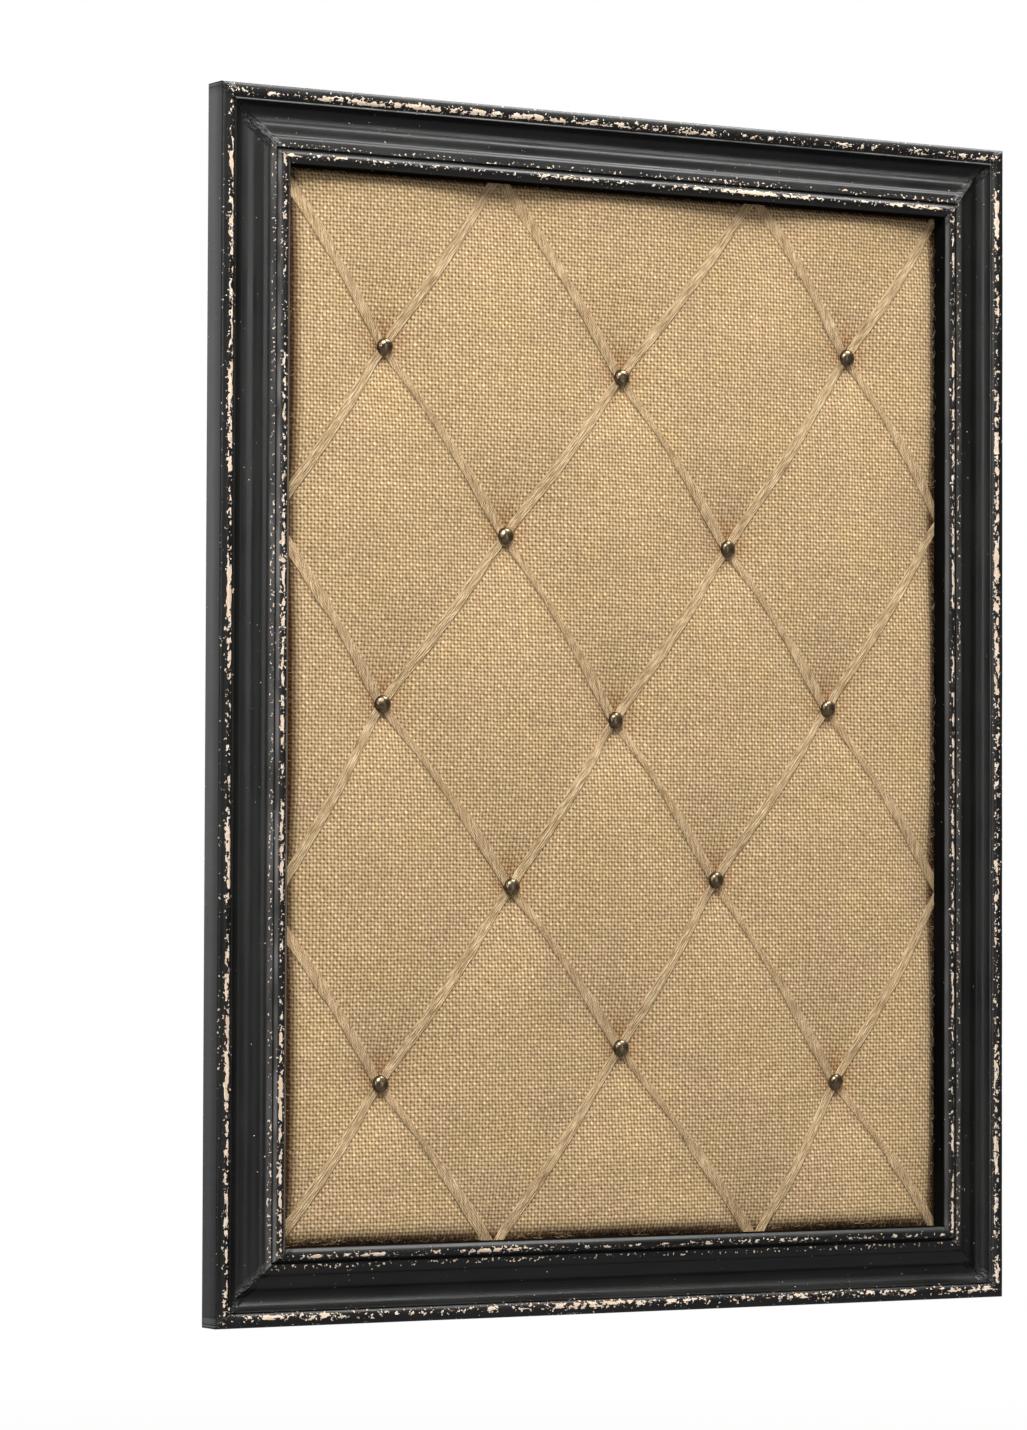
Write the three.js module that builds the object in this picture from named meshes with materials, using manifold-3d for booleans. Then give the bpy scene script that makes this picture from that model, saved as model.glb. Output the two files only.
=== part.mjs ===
// Framed burlap bulletin board: a tufted panel with jute tapes and brass tacks in a mitred frame
// Millimetres. X runs across the board, Z is up, the front faces -Y and the wall plane is Y = 0
// The origin is on the wall plane, at the middle of the top rail's flat back
// A "level" is a distance in front of the wall plane, so a point at a level has Y = -level

import * as THREE from "three";
import { mergeVertices } from "three/addons/utils/BufferGeometryUtils.js";
import Module from "manifold-3d";

const wasm = await Module();
wasm.setup();

// Frame
const frameWidth = 525.8;
const frameHeight = 680.7;
const frameDepth = 25.4;
const railWidth = 42.7;
const backBevel = 6.7;
const lipWidth = 6;
const mitreGap = 0.15;

// Face of the moulding, from the outer edge inwards: shares of railWidth and of frameDepth
const outerBeadShares = [
  [0, 0.866], [0.012, 0.906], [0.037, 0.929], [0.077, 0.945],
  [0.117, 0.949], [0.155, 0.929], [0.178, 0.894], [0.19, 0.866],
];
const quirkShares = [[0.204, 0.89]];
const coveShares = [
  [0.218, 0.882], [0.244, 0.803], [0.286, 0.72], [0.361, 0.661],
  [0.436, 0.701], [0.506, 0.78], [0.595, 0.807],
];
const stepShares = [[0.595, 0.807], [0.637, 0.827], [0.674, 0.878], [0.717, 0.898]];
const grooveShares = [[0.787, 0.913], [0.794, 0.906], [0.806, 0.87]];
const innerBeadShares = [[0.82, 0.882], [0.848, 0.961], [0.895, 1], [0.951, 0.976], [1, 0.898]];
const curveDivisions = 1;

// Layers of the panel, from the back
const panelRecess = 2.75;
const panelClearance = 1;
const clothThickness = 0.8;
const layerGap = 0.25;
const boardThickness = 3;
const padEdgeThickness = 1.9;
const padTuftThickness = 0.8;
const padCrownThickness = 8.1;
const hemWidth = 22;
const lipRoom = 0.2;

// Pillows: the cloth climbs from the lip over a round shoulder and is pulled down at every tack
const shoulderReach = 12;
const fineShoulderShare = 0.35;
const tapeRiseShare = 0.82;
const latticeCells = 6;
const fineSteps = 3;
const coarseSteps = 1;

// How far each tack and tape end sits from the even lattice, as shares of the lattice pitch
const driftShares = {
  "1,5": [-0.056, -0.007],
  "3,5": [0.021, -0.098],
  "5,5": [0.097, 0.099],
  "2,4": [-0.003, -0.024],
  "4,4": [-0.01, -0.044],
  "1,3": [-0.06, 0.018],
  "3,3": [-0.023, -0.041],
  "5,3": [-0.076, 0.053],
  "2,2": [0.061, 0.013],
  "4,2": [-0.113, 0.058],
  "1,1": [-0.063, -0.074],
  "3,1": [0.031, 0.107],
  "5,1": [0.004, -0.105],
  "0,2": [0, -0.109],
  "0,4": [0, 0.02],
  "6,2": [0, 0.007],
  "6,4": [0, 0.186],
  "2,6": [-0.069, 0],
  "4,6": [0.243, 0],
  "2,0": [-0.083, 0],
  "4,0": [0.268, 0],
};

// Tapes
const tapeThickness = 0.6;
const upperTapeWidth = 6.4;
const lowerTapeWidth = 7.6;
const tapePinchShare = 0.78;
const tapeEndInset = 0.5;
const crossingGap = 0.4;
const crossingFlat = 4.4;
const crossingRamp = 13;
const clearanceShares = [0.1, 0.2, 0.35, 0.5, 0.65, 0.8, 0.9];
const widthShares = [0, 0.25, 0.5, 0.75, 1];

// Tacks
const tackHeadRadius = 5;
const tackHeadHeight = 3.4;
const tackShankRadius = 0.9;
const tackLength = 10;
const tackPointLength = 2.5;
const tackSides = 14;
const tackDomeSteps = 3;
const holeSides = 6;

// Corner nails, framer's points and the clearance round what is let into the wood
const fitClearance = 0.3;
const nailLeg = 8;
const nailThickness = 0.8;
const nailHeight = 7;
const nailSink = 0.4;
const nailSpread = Math.PI / 3;
const nailPlaceShares = [0.36, 0.68];
const pointWidth = 9;
const pointLength = 22;
const pointBite = 8;
const pointTaper = 6;
const pointThickness = 0.5;
const stilePointShares = [-0.32, 0, 0.32];
const railPointShares = [-0.25, 0.25];

// Hangers
const hangerDrop = 150;
const pocketDepth = 5.6;
const pocketWidth = 22;
const pocketAbove = 19;
const pocketBelow = 38;
const strapThickness = 1;
const strapWidth = 10;
const strapLength = 32;
const strapSides = 16;
const wireRadius = 1;
const wireClearance = 0.2;
const wireSides = 7;
const ringSteps = 20;
const ringWidth = 16;
const ringDrop = 13;
const screwDrop = 24;
const screwRadius = 1.25;
const screwLength = 9;
const screwPoint = 3;
const screwHeadRadius = 2.7;
const screwHeadHeight = 1.3;
const screwSides = 12;
const seatGap = 0.1;

// Half of the hanger ring's centre line, from the middle of its bar to the far side
const ringOutlineShares = [
  [0, 0], [0.35, 0], [0.66, 0], [0.84, 0.02], [0.97, 0.13], [1, 0.32],
  [0.92, 0.57], [0.72, 0.8], [0.4, 0.95], [0, 1],
];

// Levels and places worked out from the sizes
const hemLevel = panelRecess + clothThickness;
const boardBack = hemLevel + layerGap;
const boardFront = boardBack + boardThickness;
const padBack = boardFront + layerGap;
const clothOverPad = layerGap + clothThickness;
const edgeLevel = padBack + padEdgeThickness + clothOverPad;
const tuftLevel = padBack + padTuftThickness + clothOverPad;
const crownLevel = padBack + padCrownThickness + clothOverPad;
const lipLevel = edgeLevel + 2 * tapeThickness + 2 * layerGap + 2 * crossingGap + lipRoom;
const rabbetEdge = railWidth - lipWidth;
const panelHalfWidth = frameWidth / 2 - rabbetEdge - panelClearance;
const panelHalfHeight = frameHeight / 2 - rabbetEdge - panelClearance;
const lipOverlap = lipWidth - panelClearance;
const pitchX = (2 * panelHalfWidth) / latticeCells;
const pitchZ = (2 * panelHalfHeight) / latticeCells;
const cutOverrun = frameDepth;
const pivotLevel = pocketDepth - strapThickness - wireClearance - wireRadius;
const strapLoopRadius = pocketDepth - pivotLevel - seatGap / 2;
const strapBoreRadius = wireRadius + wireClearance;
const hangerHeight = frameHeight / 2 - hangerDrop;
const flatBackCentre = (backBevel + rabbetEdge) / 2;

const blackPaint = new THREE.MeshStandardMaterial({ color: "#1d1d1c", roughness: 0.42, metalness: 0 });
const burlap = new THREE.MeshStandardMaterial({ color: "#b8965f", roughness: 0.95, metalness: 0 });
const batting = new THREE.MeshStandardMaterial({ color: "#ece8df", roughness: 1, metalness: 0 });
const hardboard = new THREE.MeshStandardMaterial({ color: "#6d4a2e", roughness: 0.8, metalness: 0 });
const jute = new THREE.MeshStandardMaterial({ color: "#c4a46c", roughness: 0.9, metalness: 0 });
const antiqueBrass = new THREE.MeshStandardMaterial({ color: "#5b4a33", roughness: 0.35, metalness: 1 });
const zincSteel = new THREE.MeshStandardMaterial({ color: "#a9adb0", roughness: 0.4, metalness: 1 });

// Closed solid from a geometry whose faces point outwards
function toSolid(geometry) {
  const bare = geometry.clone();
  bare.deleteAttribute("normal");
  bare.deleteAttribute("uv");
  const merged = mergeVertices(bare);
  return new wasm.Manifold(new wasm.Mesh({
    numProp: 3,
    vertProperties: new Float32Array(merged.attributes.position.array),
    triVerts: new Uint32Array(merged.index.array),
  }));
}

function toGeometry(solid) {
  const mesh = solid.getMesh();
  const geometry = new THREE.BufferGeometry();
  geometry.setAttribute("position", new THREE.BufferAttribute(new Float32Array(mesh.vertProperties), 3));
  geometry.setIndex(new THREE.BufferAttribute(new Uint32Array(mesh.triVerts), 1));
  geometry.computeVertexNormals();
  return geometry;
}

// Cuts placed tools out of a placed mesh, in the mesh's own frame
function carve(mesh, tools) {
  mesh.updateMatrixWorld(true);
  const toLocal = mesh.matrixWorld.clone().invert();
  let solid = toSolid(mesh.geometry);
  for (const tool of tools) {
    tool.updateMatrixWorld(true);
    const place = toLocal.clone().multiply(tool.matrixWorld);
    solid = solid.subtract(toSolid(tool.geometry.clone().applyMatrix4(place)));
  }
  mesh.geometry = toGeometry(solid);
  return mesh;
}

function named(name, geometry, material) {
  const mesh = new THREE.Mesh(geometry, material);
  mesh.name = name;
  return mesh;
}

// Outline drawn in X and Z, carried forward from Y = 0 through a depth
function platePart(outline, depth) {
  const plate = new THREE.ExtrudeGeometry(outline, { depth, bevelEnabled: false, curveSegments: strapSides / 2 });
  return plate.rotateX(Math.PI / 2);
}

function closedMesh(points, triangles) {
  const geometry = new THREE.BufferGeometry().setFromPoints(points);
  geometry.setIndex(triangles.flat());
  return geometry;
}

// Section of the moulding: x is the distance in from the outer edge, y the level
function mouldingSection() {
  const place = ([inShare, levelShare]) => new THREE.Vector2(inShare * railWidth, levelShare * frameDepth);
  const smooth = (shares) => (
    new THREE.SplineCurve(shares.map(place)).getPoints((shares.length - 1) * curveDivisions)
  );
  return [
    new THREE.Vector2(0, backBevel),
    ...smooth(outerBeadShares),
    ...quirkShares.map(place),
    ...smooth(coveShares),
    ...smooth(stepShares).slice(1),
    ...grooveShares.map(place),
    ...smooth(innerBeadShares),
    new THREE.Vector2(railWidth, lipLevel),
    new THREE.Vector2(rabbetEdge, lipLevel),
    new THREE.Vector2(rabbetEdge, 0),
    new THREE.Vector2(backBevel, 0),
  ];
}

// Length of moulding along X with its outer edge on Z = 0 and both ends mitred at 45 degrees
function mitredMoulding(length) {
  const section = mouldingSection();
  const count = section.length;
  const endSlide = mitreGap * Math.SQRT1_2;
  const points = [];
  for (const end of [-1, 1]) {
    for (const { x, y } of section) points.push(new THREE.Vector3(end * (length / 2 - x - endSlide), -y, x));
  }
  const caps = THREE.ShapeUtils.triangulateShape(section, []);
  const triangles = [];
  for (const [a, b, c] of caps) triangles.push([a, c, b], [count + a, count + b, count + c]);
  for (let k = 0; k < count; k++) {
    const next = (k + 1) % count;
    triangles.push([k, count + k, next], [next, count + k, count + next]);
  }
  return closedMesh(points, triangles);
}

function driftAt(i, j) {
  const own = driftShares[`${i},${j}`];
  if (own) return own;
  if ((i + j) % 2 === 0) return [0, 0];
  const inside = ([a, b]) => Math.min(a, b) >= 0 && Math.max(a, b) <= latticeCells;
  const around = [[i - 1, j], [i + 1, j], [i, j - 1], [i, j + 1]].filter(inside).map(([a, b]) => driftAt(a, b));
  const mean = (axis) => around.reduce((sum, drift) => sum + drift[axis], 0) / around.length;
  return [i % latticeCells === 0 ? 0 : mean(0), j % latticeCells === 0 ? 0 : mean(1)];
}

function onEdge(i, j) {
  return i % latticeCells === 0 || j % latticeCells === 0;
}

// Lattice site: a tack or tape end where i + j is even, the middle of a pillow where it is odd
function site(i, j) {
  const [driftX, driftZ] = driftAt(i, j);
  return new THREE.Vector2(
    (i + driftX) * pitchX - panelHalfWidth,
    (j + driftZ) * pitchZ - panelHalfHeight,
  );
}

// Place of a fractional lattice coordinate, blended from the four sites around it
function latticePlace(u, v) {
  const i = Math.min(Math.floor(u), latticeCells - 1);
  const j = Math.min(Math.floor(v), latticeCells - 1);
  const low = site(i, j).lerp(site(i + 1, j), u - i);
  const high = site(i, j + 1).lerp(site(i + 1, j + 1), u - i);
  return low.lerp(high, v - j);
}

// Quarter-round climb from 0 at the lip to 1 at the shoulder's reach
function shoulder(distance) {
  const left = 1 - Math.min(Math.max(distance / shoulderReach, 0), 1);
  return Math.sqrt(1 - left * left);
}

function clothLevel(x, z, u, v) {
  const across = Math.abs(Math.sin((Math.PI * (u + v)) / 2));
  const along = Math.abs(Math.sin((Math.PI * (u - v)) / 2));
  const pillow = tapeRiseShare * (across + along) + (1 - 2 * tapeRiseShare) * across * along;
  const sides = shoulder(panelHalfWidth - lipOverlap - Math.abs(x));
  const ends = shoulder(panelHalfHeight - lipOverlap - Math.abs(z));
  const open = tuftLevel + (crownLevel - tuftLevel) * pillow;
  return edgeLevel + sides * ends * (open - edgeLevel);
}

// Grid lines across the panel one way: fixed ones by the edges, lattice ones in between
function gridLines(half, pitch, sideInset, steps) {
  const fine = steps === fineSteps;
  const climbs = fine ? [fineShoulderShare, 1] : [1];
  const insets = [sideInset, lipOverlap, ...climbs.map((share) => lipOverlap + share * shoulderReach)];
  const low = insets.map((inset) => ({ lattice: inset / pitch, fixed: inset - half }));
  const high = insets.map((inset) => ({ lattice: latticeCells - inset / pitch, fixed: half - inset })).reverse();
  const inner = fine ? [{ lattice: 1 / 2 }] : [];
  for (let k = steps; k <= (latticeCells - 1) * steps; k++) inner.push({ lattice: k / steps });
  if (fine) inner.push({ lattice: latticeCells - 1 / 2 });
  return [...low, ...inner, ...high];
}

// Front of the tufted cloth as a grid of points, lowered by a drop, with its triangles
function tuftedFront(drop, sideInset, steps) {
  const columns = gridLines(panelHalfWidth, pitchX, sideInset, steps);
  const rows = gridLines(panelHalfHeight, pitchZ, sideInset, steps);
  const points = [];
  for (const column of columns) {
    for (const row of rows) {
      const place = latticePlace(column.lattice, row.lattice);
      const x = column.fixed ?? place.x;
      const z = row.fixed ?? place.y;
      points.push(new THREE.Vector3(x, drop - clothLevel(x, z, column.lattice, row.lattice), z));
    }
  }
  const triangles = [];
  for (let a = 0; a < columns.length - 1; a++) {
    for (let b = 0; b < rows.length - 1; b++) {
      const corner = a * rows.length + b;
      const [p, q, r, s] = [corner, corner + rows.length, corner + rows.length + 1, corner + 1];
      const u = (columns[a].lattice + columns[a + 1].lattice) / 2;
      const v = (rows[b].lattice + rows[b + 1].lattice) / 2;
      const leansRight = (Math.floor(u) + Math.floor(v)) % 2 === 0;
      if (leansRight) triangles.push([p, q, r], [p, r, s]);
      else triangles.push([p, q, s], [q, r, s]);
    }
  }
  return { points, triangles, columns: columns.length, rows: rows.length };
}

// Closed solid behind the tufted front: straight sides and a flat back
function tuftedSolid(drop, sideInset, back, steps) {
  const { points, triangles, columns, rows } = tuftedFront(drop, sideInset, steps);
  const rim = [];
  for (let a = 0; a < columns - 1; a++) rim.push(a * rows);
  for (let b = 0; b < rows - 1; b++) rim.push((columns - 1) * rows + b);
  for (let a = columns - 1; a > 0; a--) rim.push(a * rows + rows - 1);
  for (let b = rows - 1; b > 0; b--) rim.push(b);
  const firstBack = points.length;
  for (const corner of rim) points.push(new THREE.Vector3(points[corner].x, -back, points[corner].z));
  const middle = points.push(new THREE.Vector3(0, -back, 0)) - 1;
  rim.forEach((front, k) => {
    const next = (k + 1) % rim.length;
    const [backHere, backNext] = [firstBack + k, firstBack + next];
    triangles.push([front, backHere, rim[next]], [rim[next], backHere, backNext], [middle, backNext, backHere]);
  });
  return closedMesh(points, triangles);
}

const clothFront = tuftedFront(0, 0, fineSteps);

// Level of the faceted cloth under a place on the panel
function facetLevel(x, z) {
  for (const corners of clothFront.triangles) {
    const [a, b, c] = corners.map((corner) => clothFront.points[corner]);
    const area = (b.x - a.x) * (c.z - a.z) - (c.x - a.x) * (b.z - a.z);
    const toB = ((x - a.x) * (c.z - a.z) - (c.x - a.x) * (z - a.z)) / area;
    const toC = ((b.x - a.x) * (z - a.z) - (x - a.x) * (b.z - a.z)) / area;
    const slack = -1e-6;
    if (toB >= slack && toC >= slack && toB + toC <= 1 - slack) {
      return -(a.y + toB * (b.y - a.y) + toC * (c.y - a.y));
    }
  }
  return edgeLevel;
}

// Places along one stretch of tape between two sites: share of the stretch, and the line it is cut on
function stretchStations(from, to) {
  const length = from.distanceTo(to);
  const steps = [0, crossingFlat / length, crossingRamp / length];
  for (let k = 1; k < fineSteps; k++) steps.push(k / fineSteps);
  const mirrored = steps.slice(1, 3).map((share) => 1 - share).reverse();
  const plain = (share) => ({ share });
  const onSide = (point) => Math.abs(point.x) > panelHalfWidth - lipOverlap;
  const onEnd = (point) => Math.abs(point.y) > panelHalfHeight - lipOverlap;
  const edgeCuts = (point, other) => {
    const axis = onSide(point) ? "x" : "y";
    const reach = Math.abs(point[axis] - other[axis]);
    const insets = [tapeEndInset, lipOverlap, lipOverlap + fineShoulderShare * shoulderReach,
      lipOverlap + shoulderReach];
    return insets.map((inset) => ({ share: inset / reach, cut: axis === "x" ? [0, 1] : [1, 0] }));
  };
  if (onSide(from) || onEnd(from)) {
    return [...edgeCuts(from, to), plain(1 / 2), ...mirrored.map(plain)];
  }
  if (onSide(to) || onEnd(to)) {
    const cuts = edgeCuts(to, from).map(({ share, cut }) => ({ share: 1 - share, cut })).reverse();
    return [...steps.slice(0, 3).map(plain), plain(1 / 2), ...cuts];
  }
  return [...steps, ...mirrored].map(plain);
}

// Level of the flat patch where two tapes cross at a site: the cloth under the patch's corners
function patchLevel(i, j) {
  const centre = site(i, j);
  const levels = [[1, 1], [1, -1], [-1, 1], [-1, -1]].map(([a, b]) => {
    const along = site(i + a, j + b).sub(centre).setLength(crossingFlat);
    const across = new THREE.Vector2(-along.y, along.x).setLength((tapePinchShare * lowerTapeWidth) / 2);
    return facetLevel(centre.x + along.x + across.x, centre.y + along.y + across.y);
  });
  return Math.max(...levels);
}

// Stations of a tape from site to site: both edges, each with its place and the level below it
function tapeStations(route, width, upper) {
  const sites = route.map(([i, j]) => site(i, j));
  const patches = route.map(([i, j]) => (onEdge(i, j) ? edgeLevel : patchLevel(i, j)));
  const highEnd = new THREE.Vector2(panelHalfWidth - tapeEndInset, panelHalfHeight - tapeEndInset);
  const lowEnd = highEnd.clone().negate();
  const stations = [];
  for (let k = 0; k < sites.length - 1; k++) {
    const [from, to] = [sites[k], sites[k + 1]];
    const length = from.distanceTo(to);
    const before = from.clone().sub(sites[Math.max(k - 1, 0)]).normalize();
    const heading = to.clone().sub(from).normalize();
    for (const { share, cut } of stretchStations(from, to)) {
      const centre = from.clone().lerp(to, share);
      const ahead = share === 0 ? heading.clone().add(before).normalize() : heading;
      const square = new THREE.Vector2(-ahead.y, ahead.x);
      const side = cut ? new THREE.Vector2(...cut) : square;
      const spread = tapePinchShare + (1 - tapePinchShare) * Math.sin(Math.PI * share);
      const half = ((width / 2) * spread) / side.dot(square);
      const away = Math.min(share, 1 - share) * length;
      const climb = 1 - Math.min(Math.max((away - crossingFlat) / (crossingRamp - crossingFlat), 0), 1);
      const near = share < 1 / 2 ? k : k + 1;
      const over = tapeThickness + crossingGap + (onEdge(...route[near]) ? crossingGap : 0);
      const lift = layerGap + (upper ? climb * over : 0);
      const patch = climb === 1 ? patches[near] : 0;
      const edges = [half, -half].map((offset) => {
        const place = centre.clone().addScaledVector(side, offset).clamp(lowEnd, highEnd);
        return { place, level: Math.max(facetLevel(place.x, place.y), patch) + lift };
      });
      stations.push({ edges, lift, raise: 0, pressed: patch > edgeLevel });
    }
  }
  return stations;
}

// Raises the ends of every stretch that would dip into the cloth; ends pressed by a tack stay down
function clearCloth(stations) {
  for (let k = 0; k < stations.length - 1; k++) {
    const [here, next] = [stations[k], stations[k + 1]];
    if (here.pressed && next.pressed) continue;
    for (const share of clearanceShares) {
      const dips = widthShares.map((across) => {
        const [low, high] = [here, next].map(({ edges }) => edges[0].place.clone().lerp(edges[1].place, across));
        const [from, to] = [here, next].map(({ edges, lift }) => (
          THREE.MathUtils.lerp(edges[0].level, edges[1].level, across) - lift
        ));
        const place = low.lerp(high, share);
        return facetLevel(place.x, place.y) - THREE.MathUtils.lerp(from, to, share);
      });
      const dip = Math.max(0, ...dips);
      if (!here.pressed) here.raise = Math.max(here.raise, next.pressed ? dip / (1 - share) : dip);
      if (!next.pressed) next.raise = Math.max(next.raise, here.pressed ? dip / share : dip);
    }
  }
}

// Tape lying on the cloth; the upper tapes climb over the lower ones at each site
function tapeBand(route, width, upper) {
  const stations = tapeStations(route, width, upper);
  clearCloth(stations);
  const points = stations.flatMap(({ edges, raise }) => edges.flatMap(({ place, level }) => (
    [0, tapeThickness].map((above) => new THREE.Vector3(place.x, -level - raise - above, place.y))
  )));
  const last = points.length - 4;
  const triangles = [[0, 3, 1], [0, 2, 3], [last, last + 3, last + 2], [last, last + 1, last + 3]];
  const ring = [0, 2, 3, 1];
  for (let start = 0; start < last; start += 4) {
    ring.forEach((corner, k) => {
      const next = ring[(k + 1) % ring.length];
      triangles.push([start + corner, start + 4 + corner, start + next]);
      triangles.push([start + next, start + 4 + corner, start + 4 + next]);
    });
  }
  return closedMesh(points, triangles);
}

// Level on which a tack's head rests: over both tapes where they cross
function tackSeat(i, j) {
  return patchLevel(i, j) + 2 * tapeThickness + 2 * layerGap + crossingGap;
}

// Domed upholstery tack along Y, its head's flat underside on Y = 0 and its point behind
function tackBody() {
  const profile = [new THREE.Vector2(0, -tackLength)];
  profile.push(new THREE.Vector2(tackShankRadius, tackPointLength - tackLength));
  profile.push(new THREE.Vector2(tackShankRadius, 0));
  for (let k = 0; k < tackDomeSteps; k++) {
    const angle = (Math.PI / 2) * (k / tackDomeSteps);
    profile.push(new THREE.Vector2(tackHeadRadius * Math.cos(angle), tackHeadHeight * Math.sin(angle)));
  }
  profile.push(new THREE.Vector2(0, tackHeadHeight));
  return new THREE.LatheGeometry(profile, tackSides).rotateX(Math.PI);
}

function tackHole(place) {
  const radius = tackShankRadius + fitClearance;
  const tool = new THREE.Mesh(new THREE.CylinderGeometry(radius, radius, 2 * cutOverrun, holeSides));
  tool.position.set(place.x, 0, place.y);
  return tool;
}

// V-shaped corner nail, its bend pointing to -Z and a leg going into each rail
function nailBody(grow) {
  const half = nailThickness / 2 + grow;
  const leg = nailLeg + grow;
  const outline = new THREE.Shape();
  const [legX, legZ] = [Math.sin(nailSpread) * leg, Math.cos(nailSpread) * leg];
  const [sideX, sideZ] = [Math.cos(nailSpread) * half, Math.sin(nailSpread) * half];
  const bend = half / Math.sin(nailSpread);
  outline.moveTo(0, -bend);
  outline.lineTo(legX + sideX, legZ - sideZ);
  outline.lineTo(legX - sideX, legZ + sideZ);
  outline.lineTo(0, bend);
  outline.lineTo(sideX - legX, legZ + sideZ);
  outline.lineTo(-legX - sideX, legZ - sideZ);
  outline.closePath();
  return platePart(outline, nailHeight + grow);
}

// Framer's point lying in the X-Z plane: its tip points to -Z and starts at Z = 0
function pointBody(grow) {
  const half = pointWidth / 2 + grow;
  const outline = new THREE.Shape();
  outline.moveTo(0, -grow);
  outline.lineTo(half, pointTaper);
  outline.lineTo(half, pointLength + grow);
  outline.lineTo(-half, pointLength + grow);
  outline.lineTo(-half, pointTaper);
  outline.closePath();
  return platePart(outline, pointThickness + 2 * grow);
}

// Upright slot with round ends, from so far below Z = 0 to so far above it
function slotOutline(width, below, above) {
  const radius = width / 2;
  const outline = new THREE.Shape();
  outline.moveTo(-radius, radius - below);
  outline.absarc(0, radius - below, radius, Math.PI, 2 * Math.PI, false);
  outline.lineTo(radius, above - radius);
  outline.absarc(0, above - radius, radius, 0, Math.PI, false);
  outline.closePath();
  return outline;
}

// Strap of a hanger: a plate on the pocket's floor, rolled into a loop round the pivot at its top
function hangerStrap() {
  const radius = strapWidth / 2;
  const outline = new THREE.Shape();
  outline.moveTo(-radius, 0);
  outline.lineTo(-radius, radius - strapLength);
  outline.absarc(0, radius - strapLength, radius, Math.PI, 2 * Math.PI, false);
  outline.lineTo(radius, 0);
  outline.closePath();
  const bolt = new THREE.Path();
  bolt.absarc(0, -screwDrop, screwRadius + fitClearance, 0, 2 * Math.PI, true);
  outline.holes.push(bolt);
  const plate = platePart(outline, strapThickness - seatGap).translate(0, pivotLevel - pocketDepth + strapThickness, 0);
  const barrel = new THREE.CylinderGeometry(strapLoopRadius, strapLoopRadius, strapWidth, strapSides);
  const bore = new THREE.CylinderGeometry(strapBoreRadius, strapBoreRadius, 2 * strapWidth, strapSides);
  const rolled = toSolid(plate).add(toSolid(barrel.rotateZ(Math.PI / 2)));
  return toGeometry(rolled.subtract(toSolid(bore.rotateZ(Math.PI / 2))));
}

// D-shaped wire ring that hangs from its bar on the pivot
function hangerRing() {
  const half = ringOutlineShares.map(([x, z]) => new THREE.Vector3((x * ringWidth) / 2, 0, -z * ringDrop));
  const back = half.slice(1, -1).map((point) => new THREE.Vector3(-point.x, 0, point.z)).reverse();
  const centreLine = new THREE.CatmullRomCurve3([...half, ...back], true);
  return new THREE.TubeGeometry(centreLine, ringSteps, wireRadius, wireSides, true);
}

// Round-head wood screw along Y, its head's underside on Y = 0 and its point in front
function screwBody() {
  const profile = [
    new THREE.Vector2(0, -screwHeadHeight),
    new THREE.Vector2(screwHeadRadius / 2, -screwHeadHeight),
    new THREE.Vector2(screwHeadRadius, -screwHeadHeight / 2),
    new THREE.Vector2(screwHeadRadius, 0),
    new THREE.Vector2(screwRadius, 0),
    new THREE.Vector2(screwRadius, screwLength - screwPoint),
    new THREE.Vector2(0, screwLength),
  ];
  return new THREE.LatheGeometry(profile, screwSides).rotateX(Math.PI);
}

const board = new THREE.Group();

// Frame rails, drawn lying at the bottom and turned to their sides
const rails = [
  { name: "frame_rail_bottom", length: frameWidth, turn: 0, x: 0, z: -frameHeight / 2 },
  { name: "frame_rail_top", length: frameWidth, turn: Math.PI, x: 0, z: frameHeight / 2 },
  { name: "frame_stile_left", length: frameHeight, turn: Math.PI / 2, x: -frameWidth / 2, z: 0 },
  { name: "frame_stile_right", length: frameHeight, turn: -Math.PI / 2, x: frameWidth / 2, z: 0 },
].map(({ name, length, turn, x, z }) => {
  const rail = named(name, mitredMoulding(length), blackPaint);
  rail.rotation.y = turn;
  rail.position.set(x, 0, z);
  return rail;
});

// Places of the corner nails: across each mitre line, on the line from the outer corner inwards
const nailPlaces = [];
for (const [level, vertical] of [["bottom", -1], ["top", 1]]) {
  for (const [hand, across] of [["left", -1], ["right", 1]]) {
    nailPlaceShares.forEach((share, k) => {
      const inwards = backBevel + share * (rabbetEdge - backBevel);
      nailPlaces.push({
        name: `corner_nail_${level}_${hand}_${k + 1}`,
        x: across * (frameWidth / 2 - inwards),
        z: vertical * (frameHeight / 2 - inwards),
        turn: Math.atan2(-across, -vertical),
      });
    });
  }
}

// Places of the framer's points: tips in the rabbet's wall, blades over the panel's hem
const tipEdge = rabbetEdge - pointBite;
const pointPlaces = [
  ...stilePointShares.map((share, k) => ({
    name: `framer_point_left_${k + 1}`, x: tipEdge - frameWidth / 2, z: share * frameHeight, turn: Math.PI / 2,
  })),
  ...stilePointShares.map((share, k) => ({
    name: `framer_point_right_${k + 1}`, x: frameWidth / 2 - tipEdge, z: share * frameHeight, turn: -Math.PI / 2,
  })),
  ...railPointShares.map((share, k) => ({
    name: `framer_point_bottom_${k + 1}`, x: share * frameWidth, z: tipEdge - frameHeight / 2, turn: 0,
  })),
  ...railPointShares.map((share, k) => ({
    name: `framer_point_top_${k + 1}`, x: share * frameWidth, z: frameHeight / 2 - tipEdge, turn: Math.PI,
  })),
];

function placed(mesh, { x, z, turn }, level) {
  mesh.position.set(x, -level, z);
  mesh.rotation.y = turn;
  return mesh;
}

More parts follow.
